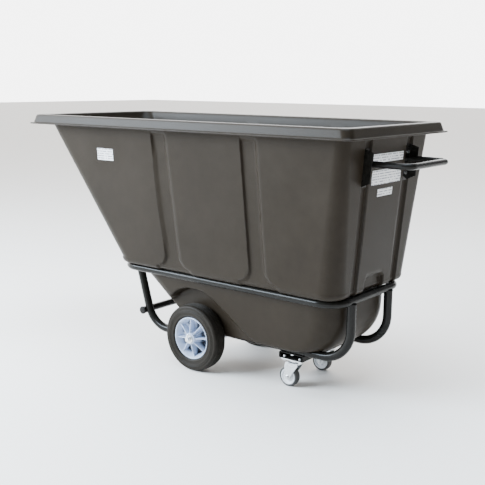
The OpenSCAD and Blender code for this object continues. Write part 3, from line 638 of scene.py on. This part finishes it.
def ring_outlines(rings, side, rear_f):
    """Points of each ring's half outline, from the front's middle round to the rear's middle."""
    z, front, rear, half, cf, cr = (rings[:, k:k + 1] for k in range(6))
    t = np.linspace(0, 1, 14, endpoint=False)[None]
    x1, y1 = front + 0 * t, t * (half - cf)
    a = np.radians(np.linspace(0, 90, 12, endpoint=False))[None]
    x2, y2 = front + cf - cf * np.cos(a), half - cf + cf * np.sin(a)
    x3, y3 = front + cf + side * (rear - cr - front - cf), half + 0 * side
    b = np.radians(np.linspace(0, 90, 14, endpoint=False))[None]
    x4, y4 = rear - cr + cr * np.sin(b), half - cr + cr * np.cos(b)
    x5, y5 = rear + 0 * rear_f, rear_f * (half - cr)
    x = np.concatenate([x1, x2, x3, x4, x5, rear], 1)
    y = np.concatenate([y1, y2, y3, y4, y5, 0 * rear], 1)
    sizes = [x1.shape[1], x2.shape[1], side.shape[1], b.shape[1], rear_f.shape[1] + 1]
    face = np.repeat(["front", "front_corner", "side", "rear_corner", "rear"], sizes)
    return x, y, face


def channel_depth(x, z, depth):
    """How far the side wall sits in: the channels, crisp towards one panel and soft to the next."""
    f = np.clip((z - SHOULDER_Z) / (BODY_TOP - SHOULDER_Z), 0, 1)
    flare_r = 60.0
    below = np.clip(SHOULDER_Z + 50 - z, 0, flare_r)
    flare = flare_r - np.sqrt(flare_r**2 - below**2)
    total = np.zeros_like(x)
    for c in CHANNELS:
        middle = c[1] * (1 - f) + c[0] * f
        from_left = x - (middle - CHANNEL_HALF - flare)
        from_right = (middle + CHANNEL_HALF + flare) - x
        left = smooth(from_left / 7 + 0.5)
        right = smooth(from_right / 22 + 0.5)
        total = np.maximum(total, left * right)
    top_end = smooth((BODY_TOP - 4 - z) / 16)
    return depth * total * top_end


def groove_depth(y, z, depth):
    """How far the rear wall sits in: two grooves and the arched recess at its foot."""
    f = np.clip((z - SHOULDER_Z) / (BODY_TOP - SHOULDER_Z), 0, 1)
    middle = GROOVE_LOW_Y * (1 - f) + GROOVE_Y * f
    groove = smooth((GROOVE_HALF - np.abs(y - middle)) / 5 + 0.5)
    recess_top = 518 - 18 * smooth((y - 50) / 30)
    recess = smooth((RECESS_HALF - y) / 5 + 0.5) * smooth((recess_top - z) / 7 + 0.5)
    top_end = smooth((BODY_TOP - z) / 10)
    return np.maximum(groove * top_end * depth, recess * (depth + 6))


def well_distance(x, z, grow):
    """Signed distance to the wheel well's outline: an arch with a straight slope behind."""
    r = WELL_R + grow
    dx, dz = x - WELL_X, z - WELL_Z
    a = math.radians(WELL_DEG)
    along = dx * math.cos(a) - dz * math.sin(a)
    slope = dx * math.sin(a) + dz * math.cos(a) - r
    arch = np.hypot(dx, dz) - r
    d = np.where(along > 0, slope, arch)
    return np.where((dz < 0) & (dx < 0), -dx - r, d)


class TRUCK_OT_hopper(bpy.types.Operator):
    """Builds the moulded hopper: rings stacked up its outside, over the rim and down its inside"""

    bl_idname = "truck.hopper"
    bl_label = "Hopper"

    def execute(self, context):
        sizes = context.scene.truck_sizes
        wall, depth = sizes.wall / MM, sizes.panel_step / MM
        rings, part = hopper_rings(wall)
        side, rear_f = hopper_columns(rings, part)
        x, y, face = ring_outlines(rings, side, rear_f)
        z = np.repeat(rings[:, :1], x.shape[1], 1)
        is_side = (face == "side")[None]
        is_rear = (face == "rear")[None]
        walls = np.isin(part, ["upper", "inner"])[:, None]
        y = y - np.where(walls & is_side, channel_depth(x, z, depth), 0)
        x = x - np.where(walls & is_rear, groove_depth(y, z, depth), 0)
        for outer in (True, False):
            names = ["belly", "bottom"] if outer else ["inner_belly", "inner_bottom"]
            rows = np.isin(part, names)[:, None]
            grow = 0 if outer else wall
            w = smooth(-well_distance(x, z, grow) / 8 + 0.5)
            target = np.minimum(y, WELL_HALF - grow)
            y = np.where(rows, y + (target - y) * w, y)
            inside = smooth((TUNNEL_HALF + grow - y) / 4 + 0.5)
            floor = TUNNEL_Z + grow
            z = np.where(rows, np.maximum(z, floor * inside + z * (1 - inside)), z)
        right = np.stack([x, y, z], -1)
        left = right[:, -2:0:-1] * [1, -1, 1]
        piece = Shape().add(np.concatenate([right, left], 1)).make(
            "hopper_shell", finish_of("hopper_plastic"), weld=2e-6)
        place(piece, "chassis", "hopper", "hopper")
        return {"FINISHED"}


# ---------------------------------------------------------------- frame


LEG_LOW, LEG_HIGH = mm_box("leg_left")
LEG_BEND_X = AXLE[0] - 248
LEG_LEAN = math.atan2(7, 24)
HANDLE_LOW, HANDLE_HIGH = mm_box("handle_tube")
WELD_BEAD = 1.6


def plan_path(xy, z):
    return np.column_stack([xy, np.full(len(xy), z)])


def side_path(xz, y):
    return np.column_stack([xz[:, 0], np.full(len(xz), y), xz[:, 1]])


class TRUCK_OT_frame(bpy.types.Operator):
    """Sweeps the hoop, rails, legs and dump rest: circles laid square to flat paths"""

    bl_idname = "truck.frame"
    bl_label = "Frame tubes"

    def execute(self, context):
        sizes = context.scene.truck_sizes
        wall = sizes.tube_wall / MM
        paint = finish_of("frame_paint")
        corner = sizes.hoop_corner / MM
        x0, x1 = HOOP_LOW[0] + HOOP_R, HOOP_HIGH[0] - HOOP_R
        y1 = HOOP_HIGH[1] - HOOP_R
        start = [0, -y1]
        loop = rounded_line([start, [x1, -y1], [x1, y1], [x0, y1], [x0, -y1], start], [corner] * 4, 28)
        path = plan_path(loop, HOOP_Z)
        length = path_length(path)
        stations = [(s, HOOP_R) for s in np.linspace(0, length, 220)[:-1]]
        grid = swept(path[:-1], [0, 0, 1], stations, 28, closed=True)
        hoop = Shape().add(grid, wrap_rows=True).make("hoop_tube", paint)
        place(hoop, "chassis", "frame_paint", "frame_hoop")
        r = RAIL_R
        rail_x, rail_z = RAIL_HIGH[0] - r, RAIL_LOW[2] + r
        leg_z = LEG_LOW[2] + r
        bend = sizes.leg_bend / MM
        tangent = bend * math.tan((math.pi / 2 - LEG_LEAN) / 2)
        corner_x = LEG_BEND_X - tangent
        top = HOOP_Z - HOOP_R * 0.6
        top_x = corner_x - (top - leg_z) * math.tan(LEG_LEAN)
        for side, s in SIDES.items():
            y = s * (RAIL_LOW[1] + RAIL_HIGH[1]) / -2
            rail = rounded_line([[RAIL_LOW[0], rail_z], [rail_x, rail_z], [rail_x, top]],
                                [sizes.rail_bend / MM], 24)
            grid = open_tube(side_path(rail, y), [0, 1, 0], r, r - wall, bead=(0, WELD_BEAD))
            tube = Shape().add(grid).make(f"rail_tube_{side}", paint)
            place(tube, "chassis", "frame_paint", f"rail_{side}")
            leg = rounded_line([[LEG_HIGH[0], leg_z], [corner_x, leg_z], [top_x, top]], [bend], 24)
            grid = open_tube(side_path(leg, y), [0, 1, 0], r, r - wall, bead=(0, WELD_BEAD))
            place(Shape().add(grid).make(f"leg_tube_{side}", paint), "chassis", "frame_paint", f"leg_{side}")
        low, high = mm_box("dump_rest_tube")
        radius = (high[2] - low[2]) / 2
        middle = (low + high) / 2
        path = [[middle[0], low[1], middle[2]], [middle[0], high[1], middle[2]]]
        grid = open_tube(path, [0, 0, 1], radius, radius - wall)
        place(Shape().add(grid).make("dump_rest", paint), "chassis", "frame_paint", "dump_rest_tube")
        cap_r = radius + 2
        cap = [(0, 0), (cap_r - 3, 0), (cap_r - 1, 0.8), (cap_r, 3), (cap_r, 6.5), (cap_r - 0.5, 7.2),
               (radius - wall - 0.3, 7.2), (radius - wall - 0.3, 20), (0, 20)]
        shape = Shape()
        for s in (-1, 1):
            outer = mm_box("dump_rest_caps")[0 if s < 0 else 1][1]
            profile = [(p, outer - s * q) for p, q in cap]
            shape.add(lathe(profile, [middle[0], 0, middle[2]], 40))
        caps = shape.make("dump_rest_end_caps", finish_of("cap_plastic"))
        place(caps, "chassis", "cap_plastic", "dump_rest_caps")
        return {"FINISHED"}


class TRUCK_OT_beam(bpy.types.Operator):
    """Box beam under the rails: a rounded rectangle, outside and inside, carried across the cart"""

    bl_idname = "truck.beam"
    bl_label = "Caster beam"

    def execute(self, context):
        low, high = mm_box("caster_beam")
        wall = 4.0

        def section(d, r, y):
            parts = [arc_points((cx, cz), r, a, a + 90, 6) for cx, cz, a in (
                (high[0] - d - r, high[2] - d - r, 0), (low[0] + d + r, high[2] - d - r, 90),
                (low[0] + d + r, low[2] + d + r, 180), (high[0] - d - r, low[2] + d + r, 270))]
            ring = np.concatenate(parts)
            return np.column_stack([ring[:, 0], np.full(len(ring), y), ring[:, 1]])

        y0, y1 = low[1], high[1]
        rings = [section(0, 5, y) for y in np.linspace(y0 + 0.6, y1 - 0.6, 12)]
        rings += [section(0.6, 4.4, y1), section(wall - 0.4, 1.4, y1)]
        rings += [section(wall, 1, y) for y in np.linspace(y1 - 0.6, y0 + 0.6, 12)]
        rings += [section(wall - 0.4, 1.4, y0), section(0.6, 4.4, y0)]
        shape = Shape().add(np.stack(rings), wrap_rows=True)
        piece = shape.make("caster_box_beam", finish_of("frame_paint"), sharp_deg=40)
        place(piece, "chassis", "frame_paint", "caster_beam")
        return {"FINISHED"}


class TRUCK_OT_handle(bpy.types.Operator):
    """Push handle: two arms and a crossbar on one flat path with rounded corners"""

    bl_idname = "truck.handle"
    bl_label = "Push handle"

    def execute(self, context):
        sizes = context.scene.truck_sizes
        r = (HANDLE_HIGH[2] - HANDLE_LOW[2]) / 2
        z = (HANDLE_HIGH[2] + HANDLE_LOW[2]) / 2
        x0, x1 = HANDLE_LOW[0] + 2, HANDLE_HIGH[0] - r
        y = HANDLE_HIGH[1] - r
        line = rounded_line([[x0, -y], [x1, -y], [x1, y], [x0, y]], [sizes.handle_bend / MM] * 2, 20)
        bore = r - sizes.tube_wall / MM
        grid = open_tube(plan_path(line, z), [0, 0, 1], r, bore, 6, bead=(WELD_BEAD, WELD_BEAD))
        handle = Shape().add(grid).make("push_handle", finish_of("frame_paint"))
        place(handle, "chassis", "frame_paint", "handle_tube")
        return {"FINISHED"}


# ---------------------------------------------------------------- wheels


def tyre_profile():
    """Closed profile of a ribbed tyre: radius against offset from its middle."""
    r, half, bore = WHEEL_R, (TYRE_HIGH[1] - TYRE_LOW[1]) / 2, 96.2
    side = [(bore, 0), (bore, 28), (bore + 1.5, 30.5), (bore + 5, 32)]
    wall_r = np.linspace(bore + 8, r - 15, 64)
    swell = 32.5 + (half - 32.7) * np.sin(np.pi * np.clip((wall_r - bore) / (r - bore - 2), 0, 1)) ** 0.7
    rings = np.zeros_like(wall_r)
    for at in (bore + 9, bore + 24, bore + 28.5, bore + 33):
        rings = np.maximum(rings, np.exp(-((wall_r - at) / 1.2) ** 2))
    side += list(zip(wall_r, swell + 1.3 * rings - 1.3))
    a = np.radians(np.linspace(15, 85, 9))
    side += [(r - 15 + 13.5 * math.sin(t), half - 15.5 + 14.5 * math.cos(t)) for t in a]
    y = np.linspace(half - 13, 0, 76)
    crown = r - 2.2 * (y / (half - 14)) ** 2
    cut = np.zeros_like(y)
    for at in (22, 15, 8, 1.0):
        cut = np.maximum(cut, 3.6 * smooth((2.1 - np.abs(y - at)) / 1.2))
    side += list(zip(crown - cut, y))
    side = np.array(side)
    other = side[-2::-1] * [1, -1]
    return np.concatenate([side, other])


HUB_RIBS = 8
POCKET_DEPTH = 13.0
# profile of the hub's seen face, from its rim to its boss, and of its back
HUB_FACE = [(96, 0), (96, 30.5), (95.2, 31.6), (93.8, 32), (92.2, 31.6), (91, 30.3), (88, 24.5), (85, 18.5),
            (82, 13), (79.5, 8.5), (77, 5.2), (74, 3.2), (69, 1.8), (62, 1), (54, 0.6), (46, 0.6), (40, 1.2),
            (35, 2.4), (31, 4.5), (28.4, 8), (27, 14), (26.2, 24), (26, 36), (25.2, 38.6), (23, 39.6),
            (16.2, 39.6), (15, 38.5)]
HUB_BACK = [(15, -38.5), (16.2, -39.6), (23, -39.6), (25.2, -38.6), (26, -36), (26.4, -30), (27.4, -21),
            (31, -17.5), (40, -16.2), (54, -16), (66, -16), (74, -16.6), (80, -19), (86, -25), (90, -30),
            (92.2, -31.6), (93.8, -32), (95.2, -31.6), (96, -30.5)]


def hub_shape(centre, out):
    """Hub: a profile turned about the axle, with ribs and pockets pushed out of its web.

    A rib is a ridge of even width, so its columns keep their distance from the
    rib's middle at every radius. Between two ribs the web falls towards one of them.
    """
    profile = np.array(HUB_FACE + HUB_BACK, float)
    r, y = profile[:, :1], profile[:, 1:]
    near = np.array([-5, -3, -2.3, -1.9, -1.4, -0.7, 0, 0.7, 1.4, 1.9, 2.3, 3, 5])
    between = np.linspace(0, 1, 12)[1:-1]
    sector = 2 * np.pi / HUB_RIBS
    close = near / r
    wide = (5 / r) * (1 - between) + (sector - 5 / r) * between
    angle = np.concatenate([close, wide], 1)
    across = np.concatenate([np.abs(near), np.full(len(between), 9.0)])[None]
    share = np.concatenate([np.where(near > 0, 0, 1.0), between])[None]
    ridge = smooth((2.1 - across) / 1.1 + 0.5)
    inside = (r > 25.9) & (r < 90.5)
    face = y > -10
    deep = smooth((r - 33) / 8) * smooth((80 - r) / 6)
    fall = np.clip(1 - share / 0.85, 0, 1) * (across > 2.2)
    floor = y - POCKET_DEPTH * deep * smooth(fall * 2.2) * face
    top = np.where(face, 36 - 14 * (r - 26) / 58, -36 + 9 * (r - 26) / 58)
    higher = np.where(face, np.maximum(top, y), np.minimum(top, y))
    depth = np.where(inside, floor + (higher - floor) * ridge, y)
    turn = (np.arange(HUB_RIBS) * sector + math.radians(7))[None, :, None]
    theta = (turn + angle[:, None, :]).reshape(len(profile), -1)
    depth = np.repeat(depth[:, None, :], HUB_RIBS, 1).reshape(len(profile), -1)
    grid = np.stack([r * np.cos(theta), out * depth, r * np.sin(theta)], -1) + centre
    return Shape().add(grid, wrap_rows=True)


class TRUCK_OT_wheels(bpy.types.Operator):
    """Main wheels: tyre and hub are profiles turned about the axle, with ribs carried outwards"""

    bl_idname = "truck.wheels"
    bl_label = "Main wheels"

    def execute(self, context):
        profile = tyre_profile()
        for side, s in SIDES.items():
            centre = mm_centre(f"tyre_{side}")
            shape = Shape().add(lathe(profile, centre, 128), wrap_rows=True)
            tyre = shape.make(f"ribbed_tyre_{side}", finish_of("tyre_rubber"))
            place(tyre, f"wheel_{side}", "tyre_rubber", f"tyre_{side}")
            hub = hub_shape(centre, s).make(f"ribbed_hub_{side}", finish_of("hub_plastic"), sharp_deg=38)
            place(hub, f"wheel_{side}", "hub_plastic", f"hub_{side}")
            dress(f"bush_{side}", "dull_steel")
        return {"FINISHED"}


# half profile of a caster wheel's core: radius against offset from its middle
CASTER_CORE = [(5.05, 0), (5.05, 17.2), (6, 17.5), (13, 17.5), (14, 16.6), (15.5, 12), (18, 10.6), (26, 10.2),
               (28.6, 11.2), (30, 14), (30.8, 15), (34.6, 15.2), (35.4, 14.6), (35.5, 13)]


class TRUCK_OT_casters(bpy.types.Operator):
    """Caster wheels: core and tread are profiles turned about the wheel bolt"""

    bl_idname = "truck.casters"
    bl_label = "Casters"

    def execute(self, context):
        for side in SIDES:
            low, high = mm_box(f"caster_tread_{side}")
            centre, r, half = (low + high) / 2, (high[2] - low[2]) / 2, (high[1] - low[1]) / 2
            inner = r - 8.8
            a = np.radians(np.linspace(0, 90, 7))
            bend = 6.0
            edge = [(r - bend + bend * math.sin(t), half - bend + bend * math.cos(t)) for t in a]
            profile = [(inner, 0), (inner, half - 1), (inner + 0.6, half - 0.2)] + edge + [(r, 0)]
            profile = np.array(profile)
            loop = np.concatenate([profile, profile[-2:0:-1] * [1, -1]])
            shape = Shape().add(lathe(loop, centre, 72), wrap_rows=True)
            tread = shape.make(f"caster_tyre_{side}", finish_of("tread_rubber"))
            place(tread, f"caster_wheel_{side}", "tread_rubber", f"caster_tread_{side}")
            core = np.array(CASTER_CORE)
            loop = np.concatenate([core, [(core[-1][0], 0)], core[:0:-1] * [1, -1]])
            shape = Shape().add(lathe(loop, centre, 72), wrap_rows=True)
            wheel = shape.make(f"caster_hub_{side}", finish_of("core_plastic"), sharp_deg=50)
            place(wheel, f"caster_wheel_{side}", "core_plastic", f"caster_core_{side}")
            for node in ("caster_plate", "kingpin", "caster_fork", "caster_axle"):
                dress(f"{node}_{side}", "zinc")
            dress(f"caster_balls_{side}", "dull_steel")
        return {"FINISHED"}


class TRUCK_OT_hardware(bpy.types.Operator):
    """Gives the axle, brackets, bolts and labels of the CAD frame their finishes"""

    bl_idname = "truck.hardware"
    bl_label = "Hardware and labels"

    def execute(self, context):
        dressed = {
            "zinc": ("axle", "axle_spacers", "axle_washers", "axle_pins", "caster_bolts", "handle_bolts",
                     "frame_bolts"),
            "frame_paint": ("axle_bracket_left", "axle_bracket_right", "handle_bracket_left",
                            "handle_bracket_right"),
            "label_film": ("label_upper", "label_middle", "label_lower", "side_label"),
        }
        for name, nodes in dressed.items():
            for node in nodes:
                dress(node, name)
        return {"FINISHED"}


# ---------------------------------------------------------------- stage


def add_light(name, where, look_at, size, power, colour):
    """Rectangular soft lamp, turned to face a point."""
    data = bpy.data.lights.new(name, "AREA")
    data.shape = "RECTANGLE"
    data.size, data.size_y = size
    data.energy = power
    data.color = colour
    lamp = bpy.data.objects.new(name, data)
    way = Vector(look_at) - Vector(where)
    lamp.matrix_world = Matrix.Translation(where) @ way.to_track_quat("-Z", "Y").to_matrix().to_4x4()
    bpy.context.scene.collection.objects.link(lamp)


class TRUCK_OT_stage(bpy.types.Operator):
    """Pale floor, soft studio light and the camera"""

    bl_idname = "truck.stage"
    bl_label = "Stage"

    def execute(self, context):
        scene = context.scene
        view = scene.truck_view
        yaw, pitch, roll = view.yaw, view.pitch, view.roll
        level = math.cos(pitch)
        ahead = Vector((-math.sin(yaw) * level, math.cos(yaw) * level, -math.sin(pitch)))
        right = Vector((math.cos(yaw), math.sin(yaw), 0))
        up = right.cross(ahead)
        across = math.cos(roll) * right + math.sin(roll) * up
        upright = math.cos(roll) * up - math.sin(roll) * right
        turn = Matrix((across, upright, -ahead)).transposed()
        data = bpy.data.cameras.new("camera")
        data.sensor_width = 36.0
        data.lens = view.lens
        camera = bpy.data.objects.new("camera", data)
        camera.matrix_world = Matrix.Translation(Vector(view.place)) @ turn.to_4x4()
        scene.collection.objects.link(camera)
        scene.camera = camera
        mesh = bpy.data.meshes.new("floor")
        reach = 40.0
        corners = [(-reach, -reach, 0), (reach, -reach, 0), (reach, reach, 0), (-reach, reach, 0)]
        mesh.from_pydata(corners, [], [(0, 1, 2, 3)])
        floor = bpy.data.objects.new("floor", mesh)
        scene.collection.objects.link(floor)
        pale = bpy.data.materials.new("pale_floor")
        pale.use_nodes = True
        shader = pale.node_tree.nodes["Principled BSDF"]
        shader.inputs["Base Color"].default_value = (0.93, 0.9, 0.86, 1)
        shader.inputs["Roughness"].default_value = 0.8
        shader.inputs["Specular IOR Level"].default_value = 0.1
        mesh.materials.append(pale)
        world = bpy.data.worlds.new("studio")
        world.use_nodes = True
        sky = world.node_tree
        back = sky.nodes["Background"]
        back.inputs["Color"].default_value = (1.0, 1.0, 1.0, 1)
        towards = sky.nodes.new("ShaderNodeVectorMath")
        towards.operation = "DOT_PRODUCT"
        sky.links.new(sky.nodes.new("ShaderNodeTexCoord").outputs["Generated"], towards.inputs[0])
        towards.inputs[1].default_value = (-0.9, 0.43, 0.0)
        strength = range_node(sky, towards.outputs["Value"], 0.2, 0.6, view.room, view.backdrop)
        sky.links.new(strength, back.inputs["Strength"])
        scene.world = world
        add_light("key", (-3.6, -4.2, 3.0), (-0.5, 0, 0.7), (4.0, 2.4), view.key, (0.76, 0.88, 1.0))
        add_light("over", (0.9, -0.5, 4.9), (0.2, 0.1, 0.9), (3.6, 2.6), view.over, (0.74, 0.87, 1.0))
        add_light("edge", (4.4, 4.6, 2.0), (0.9, 0, 1.1), (2.2, 2.0), view.edge, (0.88, 0.94, 1.0))
        return {"FINISHED"}


# ---------------------------------------------------------------- add-on


def a_number(name, about, default, **more):
    return bpy.props.FloatProperty(name=name, description=about, default=default, **more)


def a_length(name, about, metres):
    return a_number(name, about, metres, unit="LENGTH")


def an_angle(name, about, degrees):
    return a_number(name, about, math.radians(degrees), subtype="ANGLE")


def a_colour(name, about, default):
    return bpy.props.FloatVectorProperty(name=name, description=about, subtype="COLOR", default=default)


class TruckSizes(bpy.types.PropertyGroup):
    """Sizes of the pieces that the CAD frame doesn't give"""

    wall: a_length("Hopper wall", "Thickness of the moulded wall", 0.006)
    panel_step: a_length("Panel step", "Depth of the channels between panels", 0.0105)
    tube_wall: a_length("Tube wall", "Wall of the frame tubes", 0.0025)
    hoop_corner: a_length("Hoop corner", "Corner radius of the hoop", 0.090)
    rail_bend: a_length("Rail bend", "Bend radius of the rails", 0.130)
    leg_bend: a_length("Leg bend", "Bend radius of the legs", 0.130)
    handle_bend: a_length("Handle bend", "Bend radius of the handle", 0.031)


class TruckColours(bpy.types.PropertyGroup):
    """Colours of the finishes"""

    hopper: a_colour("Hopper", "Moulded hopper", (0.0135, 0.0097, 0.0060))
    frame: a_colour("Frame", "Powder coated tubes", (0.0052, 0.0048, 0.004))
    tyre: a_colour("Tyre", "Main tyres", (0.0105, 0.0085, 0.0062))
    hub: a_colour("Hub", "Main wheel hubs", (0.34, 0.4, 0.52))


class TruckView(bpy.types.PropertyGroup):
    """Camera and background light"""

    place: bpy.props.FloatVectorProperty(name="Camera", description="Where the camera stands", subtype="XYZ",
                                         unit="LENGTH", default=(2.350, -2.906, 1.287))
    yaw: an_angle("Turn", "Turn of the camera round the cart", 38.44)
    pitch: an_angle("Tilt", "How far the camera looks down", 11.03)
    roll: an_angle("Roll", "Roll of the camera", 0.40)
    lens: a_number("Lens", "Focal length in mm on a 36 mm sensor", 61.1)
    backdrop: a_number("Backdrop", "Light from behind the cart", 6.0)
    room: a_number("Room", "Light from the room in front of the cart", 0.2)
    key: a_number("Key light", "Watts of the large lamp in front", 1300.0)
    over: a_number("Top light", "Watts of the lamp overhead", 400.0)
    edge: a_number("Edge light", "Watts of the lamp behind the handle end", 16.0)


class TRUCK_PT_panel(bpy.types.Panel):
    """Lists the builders"""

    bl_idname = "TRUCK_PT_panel"
    bl_label = "Tilt truck"
    bl_space_type = "VIEW_3D"
    bl_region_type = "UI"
    bl_category = "Tilt truck"

    def draw(self, context):
        for group in ("truck_sizes", "truck_colours", "truck_view"):
            settings = getattr(context.scene, group)
            for name in settings.__annotations__:
                self.layout.prop(settings, name)
        for builder in BUILDERS:
            self.layout.operator(builder.bl_idname)


BUILDERS = (TRUCK_OT_stage, TRUCK_OT_hopper, TRUCK_OT_frame, TRUCK_OT_beam, TRUCK_OT_handle,
            TRUCK_OT_wheels, TRUCK_OT_casters, TRUCK_OT_hardware)
GROUPS_OF_SETTINGS = {"truck_sizes": TruckSizes, "truck_colours": TruckColours, "truck_view": TruckView}


def register():
    for name, group in GROUPS_OF_SETTINGS.items():
        bpy.utils.register_class(group)
        setattr(bpy.types.Scene, name, bpy.props.PointerProperty(type=group))
    for item in (*BUILDERS, TRUCK_PT_panel):
        bpy.utils.register_class(item)


def unregister():
    for item in (TRUCK_PT_panel, *reversed(BUILDERS)):
        bpy.utils.unregister_class(item)
    for name, group in GROUPS_OF_SETTINGS.items():
        delattr(bpy.types.Scene, name)
        bpy.utils.unregister_class(group)


def main():
    register()
    for builder in BUILDERS:
        space, name = builder.bl_idname.split(".")
        getattr(getattr(bpy.ops, space), name)()


if __name__ == "__main__":
    main()
